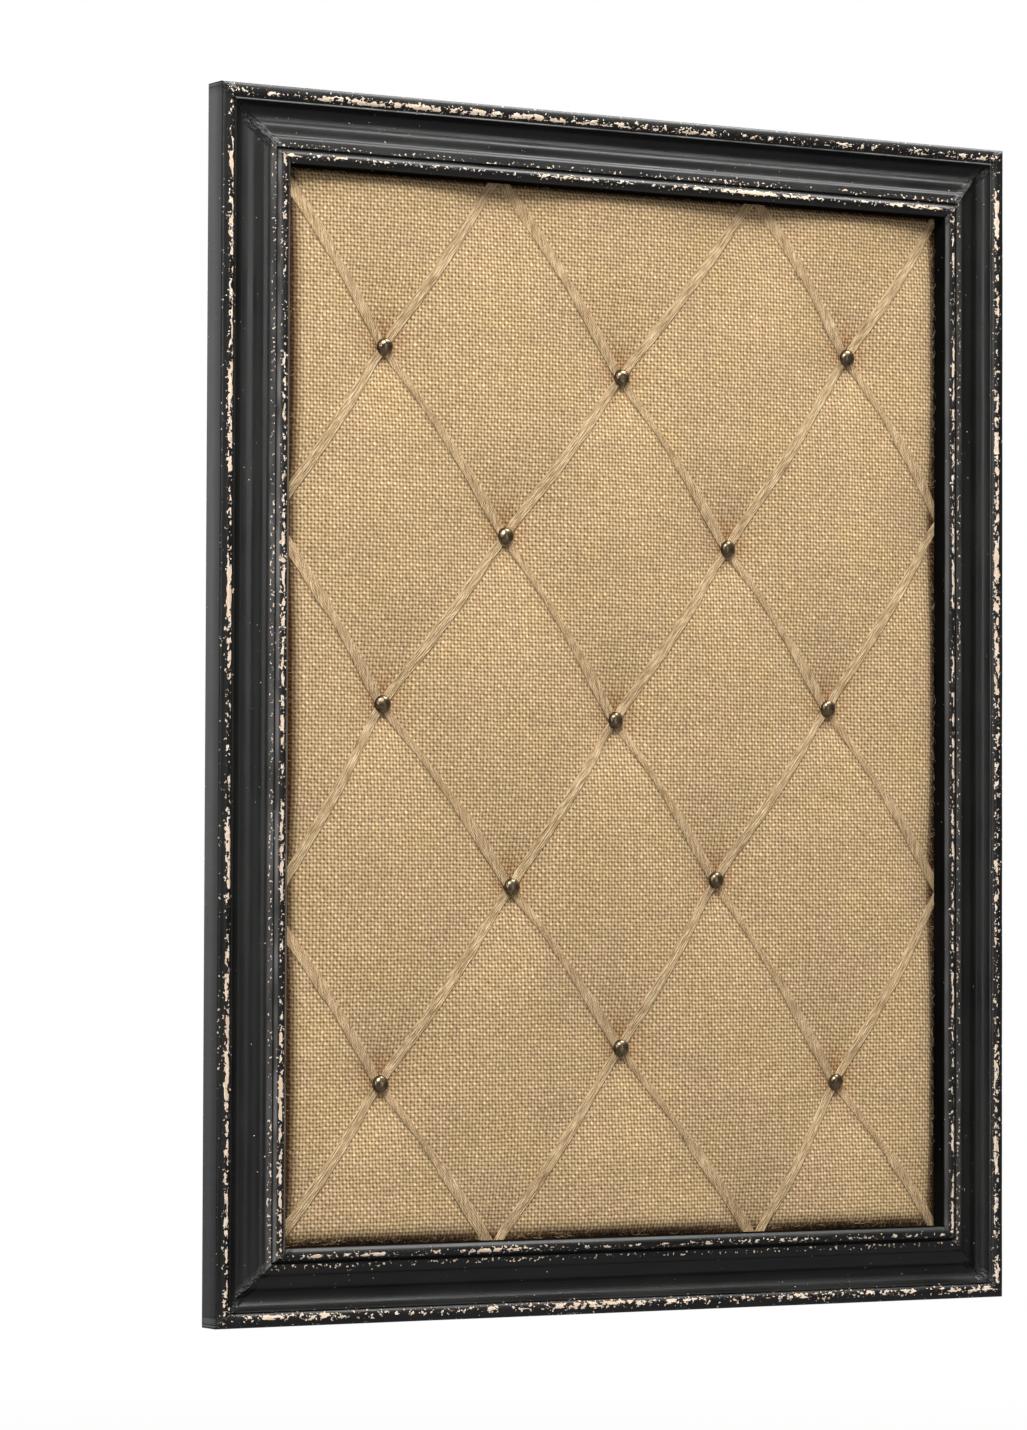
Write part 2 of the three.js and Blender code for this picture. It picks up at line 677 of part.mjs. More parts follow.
const pointLevel = panelRecess - layerGap - pointThickness;
const nails = nailPlaces.map((place) => placed(named(place.name, nailBody(0), zincSteel), place, nailSink));
const points = pointPlaces.map((place) => placed(named(place.name, pointBody(0), zincSteel), place, pointLevel));
const nailCuts = nailPlaces.map((place) => {
  const tool = placed(new THREE.Mesh(nailBody(fitClearance)), place, nailSink);
  tool.scale.y = (nailSink + nailHeight + fitClearance) / (nailHeight + fitClearance);
  tool.position.y = 0;
  return tool;
});
const pointCuts = pointPlaces.map((place) => (
  placed(new THREE.Mesh(pointBody(fitClearance)), place, pointLevel - fitClearance)
));

// Hangers in pockets in the backs of the stiles
const hangerCuts = [];
const hangers = [];
for (const [hand, across] of [["left", -1], ["right", 1]]) {
  const place = { x: across * (frameWidth / 2 - flatBackCentre), z: hangerHeight, turn: 0 };
  const pocket = platePart(slotOutline(pocketWidth, pocketBelow, pocketAbove), pocketDepth + cutOverrun);
  const pilotRadius = screwRadius + fitClearance;
  const pilot = new THREE.CylinderGeometry(pilotRadius, pilotRadius, 2 * (pocketDepth + screwLength), screwSides);
  hangerCuts.push(placed(new THREE.Mesh(pocket), place, -cutOverrun));
  hangerCuts.push(placed(new THREE.Mesh(pilot), { ...place, z: hangerHeight - screwDrop }, 0));
  const screwPlace = { ...place, z: hangerHeight - screwDrop };
  const screwLevel = pocketDepth - strapThickness - seatGap;
  hangers.push(placed(named(`hanger_strap_${hand}`, hangerStrap(), zincSteel), place, pivotLevel));
  hangers.push(placed(named(`hanger_ring_${hand}`, hangerRing(), zincSteel), place, pivotLevel));
  hangers.push(placed(named(`hanger_screw_${hand}`, screwBody(), zincSteel), screwPlace, screwLevel));
}

for (const rail of rails) board.add(carve(rail, [...nailCuts, ...pointCuts, ...hangerCuts]));
board.add(...nails, ...points, ...hangers);

// Tacks at every inner site where the tapes cross
const tackSites = [];
for (let j = latticeCells - 1; j > 0; j--) {
  for (let i = 1; i < latticeCells; i++) {
    if ((i + j) % 2 === 0) tackSites.push([i, j]);
  }
}
const tackHoles = tackSites.map(([i, j]) => tackHole(site(i, j)));
tackSites.forEach(([i, j], k) => {
  const place = site(i, j);
  board.add(placed(named(`tack_${k + 1}`, tackBody(), antiqueBrass), { x: place.x, z: place.y, turn: 0 }, tackSeat(i, j)));
});

// Panel: hardboard, batting, and the cloth wrapped round both
const boardInset = clothThickness + layerGap;
const backing = new THREE.BoxGeometry(
  2 * (panelHalfWidth - boardInset), boardThickness, 2 * (panelHalfHeight - boardInset),
).translate(0, -boardBack - boardThickness / 2, 0);
const windowBox = new THREE.BoxGeometry(
  2 * (panelHalfWidth - hemWidth), 2 * (hemLevel + layerGap / 2), 2 * (panelHalfHeight - hemWidth),
);
const clothInside = tuftedSolid(clothThickness, clothThickness, hemLevel, coarseSteps);
const cover = named("burlap_cover", tuftedSolid(0, 0, panelRecess, fineSteps), burlap);
board.add(carve(cover, [new THREE.Mesh(clothInside), new THREE.Mesh(windowBox), ...tackHoles]));
board.add(carve(named("batting_pad", tuftedSolid(clothOverPad, boardInset, padBack, coarseSteps), batting), tackHoles));
board.add(carve(named("backing_board", backing, hardboard), tackHoles));

// Tapes: each leans one way across the lattice, from one edge of the panel to another
const tapeRuns = [
  { lean: "right", starts: [[0, 4], [0, 2], [0, 0], [2, 0], [4, 0]], rise: 1, width: upperTapeWidth },
  { lean: "left", starts: [[0, 2], [0, 4], [0, 6], [2, 6], [4, 6]], rise: -1, width: lowerTapeWidth },
];
for (const { lean, starts, rise, width } of tapeRuns) {
  starts.forEach(([i, j], k) => {
    const stretches = Math.min(latticeCells - i, rise > 0 ? latticeCells - j : j);
    const route = Array.from({ length: stretches + 1 }, (_, step) => [i + step, j + rise * step]);
    const tape = named(`jute_tape_${lean}_${k + 1}`, tapeBand(route, width, rise > 0), jute);
    board.add(carve(tape, tackHoles));
  });
}

board.position.z = flatBackCentre - frameHeight / 2;
const part = new THREE.Group();
part.add(board);

export default part;
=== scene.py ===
from functools import partial
import math

import bpy
import numpy as np
from mathutils import Matrix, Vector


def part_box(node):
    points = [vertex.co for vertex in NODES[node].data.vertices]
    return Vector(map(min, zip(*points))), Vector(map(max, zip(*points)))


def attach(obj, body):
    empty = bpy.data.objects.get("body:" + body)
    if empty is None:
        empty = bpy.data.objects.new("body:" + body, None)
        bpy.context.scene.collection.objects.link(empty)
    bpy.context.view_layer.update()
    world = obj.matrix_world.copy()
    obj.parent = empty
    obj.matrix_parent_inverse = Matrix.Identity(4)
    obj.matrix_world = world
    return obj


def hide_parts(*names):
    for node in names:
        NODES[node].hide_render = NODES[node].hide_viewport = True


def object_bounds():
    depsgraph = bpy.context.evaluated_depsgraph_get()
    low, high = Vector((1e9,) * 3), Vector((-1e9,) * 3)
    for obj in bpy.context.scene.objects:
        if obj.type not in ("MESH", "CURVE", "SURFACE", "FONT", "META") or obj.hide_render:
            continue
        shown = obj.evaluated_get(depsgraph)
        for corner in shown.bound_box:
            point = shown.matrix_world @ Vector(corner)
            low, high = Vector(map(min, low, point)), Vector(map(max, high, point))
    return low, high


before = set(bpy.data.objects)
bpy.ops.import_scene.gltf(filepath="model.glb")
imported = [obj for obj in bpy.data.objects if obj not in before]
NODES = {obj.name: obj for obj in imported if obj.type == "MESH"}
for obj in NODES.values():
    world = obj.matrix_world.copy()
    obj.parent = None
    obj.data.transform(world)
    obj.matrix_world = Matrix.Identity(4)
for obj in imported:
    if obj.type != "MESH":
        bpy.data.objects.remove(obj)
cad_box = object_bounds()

bl_info = {
    "name": "Burlap Bulletin Board",
    "version": (1, 0, 0),
    "blender": (4, 5, 0),
    "location": "View3D > Sidebar > Board",
    "description": "Tufted burlap pin board in a rubbed black moulded frame, built over its packed CAD frame",
    "category": "Object",
}


def box_of(node):
    """Low and high corner of a CAD node."""
    return [np.array(corner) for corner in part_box(node)]


# Lengths are in metres. X runs across the board, Z is up and the front faces -Y.
# A level is a distance in front of the wall plane, so a point at a level has Y = -level.
MM = 0.001
LOW, HIGH = (np.array(corner) for corner in cad_box)
BOARD_WIDTH = float(HIGH[0] - LOW[0])
BOARD_HEIGHT = float(HIGH[2] - LOW[2])
BOARD_MIDDLE = float(HIGH[2] + LOW[2]) / 2
RAISED = (0, 0, BOARD_MIDDLE)
PANEL_LOW, PANEL_HIGH = box_of("burlap_cover")
HALF_WIDTH = float(PANEL_HIGH[0])
HALF_HEIGHT = float(PANEL_HIGH[2] - PANEL_LOW[2]) / 2
HEM_LEVEL = -float(PANEL_HIGH[1])
CELLS = 6
PITCH = np.array([2 * HALF_WIDTH, 2 * HALF_HEIGHT]) / CELLS
TACK_SITES = [(i, j) for j in range(CELLS - 1, 0, -1) for i in range(1, CELLS) if (i + j) % 2 == 0]

# Cloth beyond each side of the front, to the end of its hem, and half a crossing's length along the tapes
HEM_RUN, CROSSING = 29 * MM, 4.4 * MM

# Face of the moulding, from the outer edge inwards: (inset, level) in millimetres
RAIL_WIDTH, RAIL_DEPTH = 42.7, 25.4
OUTER_BEAD = [(0, 22), (0.51, 23.01), (1.58, 23.6), (3.29, 24), (5, 24.1), (6.62, 23.6), (7.6, 22.71),
              (8.11, 22)]
QUIRK = [(8.71, 22.61)]
COVE = [(9.31, 22.4), (10.42, 20.4), (12.21, 18.29), (15.41, 16.79), (18.62, 17.81), (21.61, 19.81),
        (25.41, 20.5)]
STEP = [(25.41, 20.5), (27.2, 21.01), (28.78, 22.3), (30.62, 22.81)]
GROOVE = [(33.6, 23.19), (33.9, 23.01), (34.42, 22.1)]
INNER_BEAD = [(35.01, 22.4), (36.21, 24.41), (38.22, RAIL_DEPTH), (40.61, 24.79), (RAIL_WIDTH, 22.81)]
LIP_LEVEL, RABBET, BEVEL = 12.55, 36.7, 6.7

# How much more than usual each rail's outer and inner bead is rubbed: bottom, top, left, right
HANDLING = [(-0.05, -0.015), (-0.01, -0.02), (0.02, 0.0), (-0.01, 0.012)]

# How far the narrow flats by the outer and inner beads are lightened from black to grey, in the same order;
# part of it is rubbed paint and part is painted sheen, a highlight put into the colour
RUBBED_AND_PAINTED_SHEEN = [(0.1, 0.0), (1.0, 0.1), (0.0, 0.75), (0.4, 0.4)]

# How far each tack and tape end sits from the even lattice, as shares of the lattice pitch
DRIFTS = {
    (1, 5): (-0.056, -0.007), (3, 5): (0.021, -0.098), (5, 5): (0.097, 0.099),
    (2, 4): (-0.003, -0.024), (4, 4): (-0.01, -0.044),
    (1, 3): (-0.06, 0.018), (3, 3): (-0.023, -0.041), (5, 3): (-0.076, 0.053),
    (2, 2): (0.061, 0.013), (4, 2): (-0.113, 0.058),
    (1, 1): (-0.063, -0.074), (3, 1): (0.031, 0.107), (5, 1): (0.004, -0.105),
    (0, 2): (0, -0.109), (0, 4): (0, 0.02), (6, 2): (0, 0.007), (6, 4): (0, 0.186),
    (2, 6): (-0.069, 0), (4, 6): (0.243, 0), (2, 0): (-0.083, 0), (4, 0): (0.268, 0),
}


def drift_table():
    """Drift of all 7 x 7 lattice sites; a site with i + j odd takes the mean of its neighbours."""
    drift = np.zeros((CELLS + 1, CELLS + 1, 2))
    for (i, j), pair in DRIFTS.items():
        drift[i, j] = pair
    for i in range(CELLS + 1):
        for j in range(CELLS + 1):
            if (i + j) % 2:
                near = [(i - 1, j), (i + 1, j), (i, j - 1), (i, j + 1)]
                near = [drift[a, b] for a, b in near if 0 <= a <= CELLS and 0 <= b <= CELLS]
                drift[i, j] = np.mean(near, axis=0) * (0 < i < CELLS, 0 < j < CELLS)
    return drift


DRIFT = drift_table()


# Shapes as functions of place

def join(*parts):
    """Coordinates side by side on a last axis, each spread to their common shape."""
    return np.stack(np.broadcast_arrays(*parts), axis=-1)


def spline(points, steps):
    """Uniform Catmull-Rom curve through the points: a span blends its two ends and half the chords beyond."""
    p = np.asarray(points, float)
    ends = np.vstack([p[:1], p, p[-1:]])
    t = np.linspace(0, 1, steps, endpoint=False)[:, None]
    spans = []
    for p0, p1, p2, p3 in zip(ends[:-3], ends[1:-2], ends[2:-1], ends[3:]):
        v0, v1 = (p2 - p0) / 2, (p3 - p1) / 2
        cubic, square = 2 * p1 - 2 * p2 + v0 + v1, 3 * p2 - 3 * p1 - 2 * v0 - v1
        spans.append(cubic * t**3 + square * t**2 + v0 * t + p1)
    return np.vstack(spans + [p[-1:]])


def ripple(a, b, size, seed, waves=9):
    """Smooth random height near -1 to 1: sine waves of about one length, each in its own direction."""
    rng = np.random.default_rng(seed)
    turn = rng.uniform(0, 2 * np.pi, waves)
    length = size * rng.uniform(0.7, 1.5, waves)
    start = rng.uniform(0, 2 * np.pi, waves)
    found = (np.sin(2 * np.pi * (a * np.cos(w) + b * np.sin(w)) / n + s)
             for w, n, s in zip(turn, length, start))
    return sum(found) / math.sqrt(waves)


def smooth_step(x):
    """0 below 0, 1 above 1 and 3x^2 - 2x^3 between."""
    x = np.clip(x, 0, 1)
    return x * x * (3 - 2 * x)


def drift_at(u, v):
    """Drift at lattice coordinates, blended from the four sites around, two weights each way."""
    i = np.clip(np.floor(u).astype(int), 0, CELLS - 1)
    j = np.clip(np.floor(v).astype(int), 0, CELLS - 1)
    p, q = (u - i)[..., None], (v - j)[..., None]
    low = DRIFT[i, j] * (1 - p) + DRIFT[i + 1, j] * p
    high = DRIFT[i, j + 1] * (1 - p) + DRIFT[i + 1, j + 1] * p
    return low * (1 - q) + high * q


def place_of(u, v):
    """Place (x, height from the board's middle) of lattice coordinates: even pitch plus drift."""
    return (join(u, v) + drift_at(u, v)) * PITCH - (HALF_WIDTH, HALF_HEIGHT)


def lattice_of(x, z):
    """Lattice coordinates of a place, by repeating u = even place less the drift at the last u."""
    even = join((x + HALF_WIDTH) / PITCH[0], (z + HALF_HEIGHT) / PITCH[1])
    found = even
    for _ in range(14):
        found = even - drift_at(*np.moveaxis(np.clip(found, 0, CELLS), -1, 0))
    return found[..., 0], found[..., 1]


def site(i, j):
    """Place of a lattice site."""
    return place_of(np.array(float(i)), np.array(float(j)))


def cloth_level(x, z):
    """Level of the tufted cloth: rise * (A + B) + (1 - 2 rise) * A * B over the tuft level.

    A and B are |sin| of half a turn per lattice cell along the two tape directions, softened in the crease.
    A quarter-round shoulder lets the cloth down to its edge level at the lip, which covers 5 mm of it.
    Lumps of 0.22 mm lie some 46 mm apart, and lumps of 0.1 mm some 15 mm apart.
    """
    sizes = bpy.context.scene.board_cloth
    u, v = lattice_of(x, z)
    crease = sizes.crease_softness
    wave_a = np.sqrt(np.sin(np.pi * (u + v) / 2) ** 2 + crease**2)
    wave_b = np.sqrt(np.sin(np.pi * (u - v) / 2) ** 2 + crease**2)
    rise = sizes.tape_rise
    pillow = rise * (wave_a + wave_b) + (1 - 2 * rise) * wave_a * wave_b

    def shoulder(distance):
        left = 1 - np.clip(distance / sizes.shoulder, 0, 1)
        return np.sqrt(1 - left * left)

    lip = 5 * MM
    inward = shoulder(HALF_WIDTH - lip - np.abs(x)) * shoulder(HALF_HEIGHT - lip - np.abs(z))
    lumps = 0.22 * MM * ripple(x, z, 46 * MM, 5) + 0.1 * MM * ripple(x, z, 15 * MM, 6)
    open_level = sizes.tuft_level + (sizes.crown_level - sizes.tuft_level) * pillow + lumps
    return sizes.edge_level + inward * (open_level - sizes.edge_level)


# Meshes from arrays

def grid_faces(rows, columns, closed=False):
    """Four corners of every cell of a rows x columns grid of points, in order round the cell."""
    r = np.arange(rows - 1)[:, None]
    c = np.arange(columns if closed else columns - 1)[None, :]
    d = (c + 1) % columns
    return join(r * columns + c, r * columns + d, (r + 1) * columns + d, (r + 1) * columns + c).reshape(-1, 4)


def tube_faces(rows, columns, turned_out=False):
    """Faces of a tube of rows rings with a cap at both ends; turned out, their corners run the other way."""
    faces = grid_faces(rows, columns, closed=True).tolist()
    faces += [list(range(columns))[::-1], list(range((rows - 1) * columns, rows * columns))]
    return [face[::-1] for face in faces] if turned_out else faces


def grid_rim(columns, rows):
    """Indices of the outer points of a grid, once round."""
    return np.concatenate([
        np.arange(columns - 1) * rows, (columns - 1) * rows + np.arange(rows - 1),
        np.arange(columns - 1, 0, -1) * rows + rows - 1, np.arange(rows - 1, 0, -1)])


def make_object(name, points, faces):
    """Makes an object from points and faces and puts it in the scene."""
    mesh = bpy.data.meshes.new(name)
    mesh.from_pydata(np.asarray(points, float).tolist(), [], [list(map(int, face)) for face in faces])
    mesh.update()
    thing = bpy.data.objects.new(name, mesh)
    bpy.context.scene.collection.objects.link(thing)
    return thing


def store(mesh, key, values):
    """Stores a number or a vector per point, under the name by which a material reads it."""
    values = np.asarray(values, np.float32)
    kind, field = ("FLOAT_VECTOR", "vector") if values.ndim == 2 else ("FLOAT", "value")
    mesh.attributes.new(key, kind, "POINT").data.foreach_set(field, values.ravel())


def make_piece(name, points, faces, material, replaces=(), body="board", uv=None, stored=None,
               crease=60):
    """Makes one piece from points, faces and values per point, and rides it on its body."""
    piece = make_object(name, points, faces)
    mesh = piece.data
    if uv is not None:
        corner = np.zeros(len(mesh.loops), np.int32)
        mesh.loops.foreach_get("vertex_index", corner)
        layer = mesh.uv_layers.new(name="weave")
        layer.data.foreach_set("uv", np.asarray(uv, np.float32)[corner].ravel())
    for key, values in (stored or {}).items():
        store(mesh, key, values)
    mesh.shade_smooth()
    mesh.set_sharp_from_angle(angle=math.radians(crease))
    mesh.materials.append(material)
    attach(piece, body)
    if replaces:
        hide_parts(*replaces)
    return piece


def dress(nodes, material):
    """Gives CAD nodes a material, and leaves their shape as it is."""
    for name in nodes:
        mesh = NODES[name].data
        mesh.materials.clear()
        mesh.materials.append(material)


# Materials

# Signs for the sums that are used most, and the setting that a kind of node takes after its dot
SIGNS = {"+": "Math.ADD", "-": "Math.SUBTRACT", "*": "Math.MULTIPLY", "*+": "Math.MULTIPLY_ADD"}
SETTINGS = {"Math": "operation", "VectorMath": "operation", "Mix": "data_type", "Attribute": "attribute_name",
            "UVMap": "uv_map", "TexWhiteNoise": "noise_dimensions"}


def srgb(code):
    """Linear colour of a hex code: below 0.04045 a straight line, above it a power of 2.4."""
    parts = [int(code[k:k + 2], 16) / 255 for k in (1, 3, 5)]
    return tuple(c / 12.92 if c <= 0.04045 else ((c + 0.055) / 1.055) ** 2.4 for c in parts) + (1.0,)


def feed(socket, value):
    """Gives a socket a constant, the colour of a hex code, an output, or the first live output of a node."""
    if isinstance(value, bpy.types.Node):
        value = next(output for output in value.outputs if output.enabled)
    if isinstance(value, bpy.types.NodeSocket):
        socket.id_data.links.new(value, socket)
    else:
        socket.default_value = srgb(value) if isinstance(value, str) else value


def add_node(tree, kind, *inputs, stops=(), **named):
    """Adds a shader node and feeds its live sockets in order, and others by name.

    A noise takes its place, its waves per metre, its detail and its roughness. Stops are the (place, grey or
    colour) pairs of a ramp.
    """
    kind, _, setting = SIGNS.get(kind, kind).partition(".")
    node = tree.nodes.new("ShaderNode" + kind)
    if setting:
        setattr(node, SETTINGS[kind], setting)
    for k, (place, colour) in enumerate(stops):
        ramp = node.color_ramp.elements
        element = ramp[k] if k < 2 else ramp.new(place)
        element.position = place
        if isinstance(colour, str):
            colour = srgb(colour)
        element.color = colour if isinstance(colour, tuple) else (colour, colour, colour, 1)
    for socket, value in zip([socket for socket in node.inputs if socket.enabled], inputs):
        feed(socket, value)
    for key, value in named.items():
        feed(node.inputs[key], value)
    return node


def new_material(name):
    """Makes a material, and the function that adds a node to it."""
    material = bpy.data.materials.new(name)
    material.use_nodes = True
    return material, partial(add_node, material.node_tree)


def finish(material, bump=None, **sockets):
    """Feeds the material's shader. Bump is a height, its strength, and the distance that a height of 1 is."""
    tree = material.node_tree
    if bump:
        height, strength, distance = bump
        sockets["Normal"] = add_node(tree, "Bump", Height=height, Strength=strength, Distance=distance)
    for key, value in sockets.items():
        feed(tree.nodes["Principled BSDF"].inputs[key.replace("_", " ")], value)
    return material


def rubbed_black_paint():
    """Satin black brushing paint on pale basswood, rubbed through on the beads.

    The eye gets deep soft black with blurred bands of light, and crisp peach chips with a rust-brown edge
    where the brown undercoat shows. Chips on the beads are 5 to 30 mm long and 1 to 4 mm wide; the sharp
    edges carry white flecks of a millimetre or two. The inner wall and the quirks are matt.
    """
    paint = bpy.context.scene.board_paint
    material, add = new_material("satin_black_paint_on_basswood")
    place = add("Attribute.moulding").outputs["Vector"]
    along, across, past_mitre = add("SeparateXYZ", place).outputs
    inset = add("Math.DIVIDE", across, RAIL_WIDTH * MM)
    beads = add("ValToRGB", inset, stops=[
        (0, 0), (0.04, 0.05), (0.075, 0.5), (0.1, 0.93), (0.15, 1), (0.168, 0.6), (0.185, 0), (0.848, 0),
        (0.86, 0.6), (0.875, 0.99), (0.907, 0.97), (0.925, 0.45), (0.945, 0)])
    edges = add("ValToRGB", inset, stops=[
        (0, 0.1), (0.01, 0.5), (0.05, 0.2), (0.08, 0.7), (0.17, 0.75), (0.19, 0.1), (0.205, 0.4), (0.22, 0),
        (0.36, 0), (0.59, 0.1), (0.72, 0.1), (0.735, 0.72), (0.785, 0.72), (0.8, 0.1), (0.83, 0.2),
        (0.86, 0.66), (0.93, 0.66), (0.96, 0.1)])
    spot = add("TexCoord").outputs["Object"]
    depth = add("SeparateXYZ", spot).outputs[1]
    # Places with the way along the rail shortened, so that what is laid over them is drawn out along it
    solid = add("CombineXYZ", along, across, depth)
    chipped, stretched, fibred = (
        add("CombineXYZ", add("*", along, share), across, depth) for share in (0.6, 0.36, 0.06))
    regions, patches, flakes, crumbs, specks, grain, tone = (add("TexNoise", *inputs) for inputs in (
        (stretched, 38, 2), (stretched, 110, 2), (chipped, 360, 2.5, 0.55), (solid, 1000, 3), (solid, 560, 2),
        (fibred, 900, 5), (stretched, 60, 5)))
    # The paint is through where the sum of the patterns passes a threshold: large chips, and small flecks
    chip_at, fleck_at = 1.512, 1.315
    large = add("*", regions, 0.38)
    for pattern, weight in ((patches, 0.36), (flakes, 1.0), (crumbs, 0.24), (beads, 0.5)):
        large = add("*+", pattern, weight, large)
    large = add("+", large, add("Attribute.handling").outputs["Fac"])
    large = add("-", large, chip_at - paint.wear)
    bevel_edge = 6.9 * MM
    arris = add("Math.ABSOLUTE", add("+", depth, bevel_edge))
    edges = add("Math.MAXIMUM", edges, add("MapRange", arris, 0.4 * MM, 1.6 * MM, 0.55, 0.0))
    small = add("*+", specks, 1.5, add("*", regions, 0.3))
    small = add("*+", edges, 0.33, small)
    worn = add("Math.MAXIMUM", large, add("-", small, fleck_at - paint.wear))
    bare = add("MapRange", worn, 0.0, 0.014)
    undercoat = add("MapRange", worn, -0.045, -0.008)
    # Raw wood shows in the rabbet and the pockets, and on the flat back up to an uneven line
    line = add("*+", add("TexNoise", spot, 60, 4), 4 * MM, depth)
    back = add("MapRange", line, 0.8 * MM, 1.2 * MM)
    inner = add("Math.GREATER_THAN", across, 8.5 * MM)
    behind = add("Math.GREATER_THAN", depth, -12.4 * MM)
    back = add("Math.MAXIMUM", back, add("*", inner, behind))
    raw = add("Math.MAXIMUM", bare, back)
    wood = add("ValToRGB", grain, stops=[(0.3, "#c4a98e"), (0.5, (*paint.wood, 1.0)), (0.75, "#f3e9dc")])
    # The middle of a large chip is rubbed down to warmer wood
    wood = add("Mix.RGBA", add("MapRange", worn, 0.04, 0.15, 0.0, 0.7), wood, "#dbb48c")
    black = add("ValToRGB", tone, stops=[(0.3, "#0a0a09"), (0.7, "#151513")])
    # Painted sheen: the narrow flats by the beads turn grey, partly paint rubbed thin and partly a painted
    # highlight, by each rail's share
    flats = add("ValToRGB", inset, stops=[
        (0, 0), (0.188, 0), (0.194, 1), (0.206, 1), (0.214, 0), (0.7, 0), (0.725, 0.4), (0.785, 0.35),
        (0.795, 0), (0.818, 0), (0.825, 0.85), (0.842, 0.85), (0.852, 0), (0.94, 0), (0.96, 0.5),
        (0.985, 0.5), (1, 0)])
    grey_rub_and_painted_sheen = add("*", flats, add("Attribute.burnish").outputs["Fac"])
    grey_rub_and_painted_sheen = add("*", grey_rub_and_painted_sheen, add("MapRange", patches, 0.35, 0.65, 0.3, 1.0))
    coat = add("Mix.RGBA", undercoat, add("Mix.RGBA", grey_rub_and_painted_sheen, black, "#93918e"), "#3d2216")
    colour = add("Mix.RGBA", raw, coat, wood)
    rough = add("Mix.FLOAT", raw, add("MapRange", tone, 0.3, 0.7, 0.33, 0.43), 0.8)
    sheltered = add("ValToRGB", inset, stops=[
        (0, 0.46), (0.195, 0.46), (0.2, 0.3), (0.215, 0.46), (0.8, 0.46), (0.81, 0.2), (0.825, 0.46),
        (0.985, 0.42), (0.995, 0)])
    # Heights in millimetres: brush drag along the rail, small runs, lumpy filler at the mitres and chip edges
    drag = add("TexNoise", add("CombineXYZ", add("*", along, 0.05), across), 900, 3)
    mitre = add("MapRange", past_mitre, 0.0, 5.5 * MM, 1.0, 0.0)
    filler = add("*", add("TexNoise", place, 400, 2), mitre)
    runs = add("TexNoise", place, 160, 3)
    relief = add("*", drag, 0.01)
    for pattern, height in ((runs, 0.07), (filler, 1.5), (undercoat, -0.06), (bare, -0.1)):
        relief = add("*+", pattern, height, relief)
    return finish(material, (relief, 1.0, MM), Base_Color=colour, Roughness=rough,
                  Specular_IOR_Level=sheltered)


def burlap_weave():
    """Jute burlap: coarse plain weave of uneven spun yarn, unbleached, with no finish.

    The eye gets rows of pale yarn tops with a dark hole at each corner, thick and thin yarns, and faint
    bands. Warp and weft cross every 2.1 mm. A knuckle is the product of the sines across both yarns, to the
    power 1.5, and a hole is the product of one less each sine.
    """
    pitch = bpy.context.scene.board_cloth.thread_pitch
    material, add = new_material("jute_burlap_plain_weave")
    uv = add("UVMap.weave")
    wander = add("TexNoise", uv, 34, 5, 0.85).outputs["Color"]
    shift = add("VectorMath.SUBTRACT", wander, (0.5, 0.5, 0.5))
    moved = add("VectorMath.MULTIPLY_ADD", shift, (3.4 * MM, 2.6 * MM, 0.0), uv)
    counted = add("VectorMath.MULTIPLY", moved, (1 / pitch, 0.995 / pitch, 0.0))
    warp, weft, _ = add("SeparateXYZ", counted).outputs
    counts = [add("Math.FLOOR", yarns) for yarns in (warp, weft)]
    rounds, bodies = [], []
    for own, other, count, start in ((warp, weft, counts[0], 3.7), (weft, warp, counts[1], 9.1)):
        rounds.append(add("Math.SINE", add("*", add("Math.FRACT", own), math.pi)))
        # Each yarn has its own thick and thin lengths
        spun = add("CombineXYZ", add("*", count, 5.17), add("*", other, 0.3), start)
        bodies.append(add("MapRange", add("TexNoise", spun, 1, 2), 0.3, 0.7, 0.88, 1.12))
    knuckle = add("Math.POWER", add("*", *rounds), 1.5)
    hole = add("*", *(add("-", 1.0, value) for value in rounds))
    is_warp = add("Math.FLOORED_MODULO", add("+", *counts), 2.0)
    top = add("*+", hole, -0.62, add("*+", knuckle, 0.28, 0.5))
    slubs = add("TexNoise", uv, 420, 2)
    uneven = add("+", *(add("TexWhiteNoise.1D", count) for count in counts))
    # Every crossing is lighter on one slant and darker on the other, in a diagonal wave two crossings long
    slant = add("*", add("+", warp, weft), math.pi)
    slant = add("Math.COSINE", add("-", slant, 0.6))
    tone = add("MapRange", uneven, 0.0, 2.0, 0.93, 1.07)
    for share in (add("MapRange", slubs, 0.3, 0.7, 0.78, 1.22), add("*+", slant, 0.24, 1.0),
                  add("Mix.FLOAT", is_warp, bodies[1], bodies[0]),
                  add("MapRange", add("TexNoise", uv, 14, 4, 0.6), 0.3, 0.7, 0.95, 1.05)):
        tone = add("*", tone, share)
    yarn = add("ValToRGB", top, stops=[
        (0.0, "#5c4022"), (0.3, "#93764b"), (0.5, "#b39a75"), (0.75, "#cdba9a"), (1.0, "#efe9d6")])
    colour = add("VectorMath.SCALE", yarn, tone)
    # Painted shade: deep in the tufts round the tacks and along the lip the jute is darkened towards brown,
    # for the shadow there
    for key, painted_shade_colour in (("tuft", "#cfa079"), ("lip", "#5e4733")):
        shade = add("Mix.RGBA", add("Attribute." + key).outputs["Fac"], "#ffffff", painted_shade_colour)
        colour = add("VectorMath.MULTIPLY", colour, shade)
    clouds = add("TexNoise", uv, 24, 2)
    hue = add("ValToRGB", clouds, stops=[(0.36, "#fffaee"), (0.5, "#fffbf4"), (0.64, "#fff9f5")])
    colour = add("VectorMath.MULTIPLY", colour, hue)
    return finish(material, (add("*+", slubs, 0.35, top), 0.5, 0.5 * MM), Base_Color=colour,
                  Roughness=0.92, Sheen_Weight=0.05, Specular_IOR_Level=0.1)


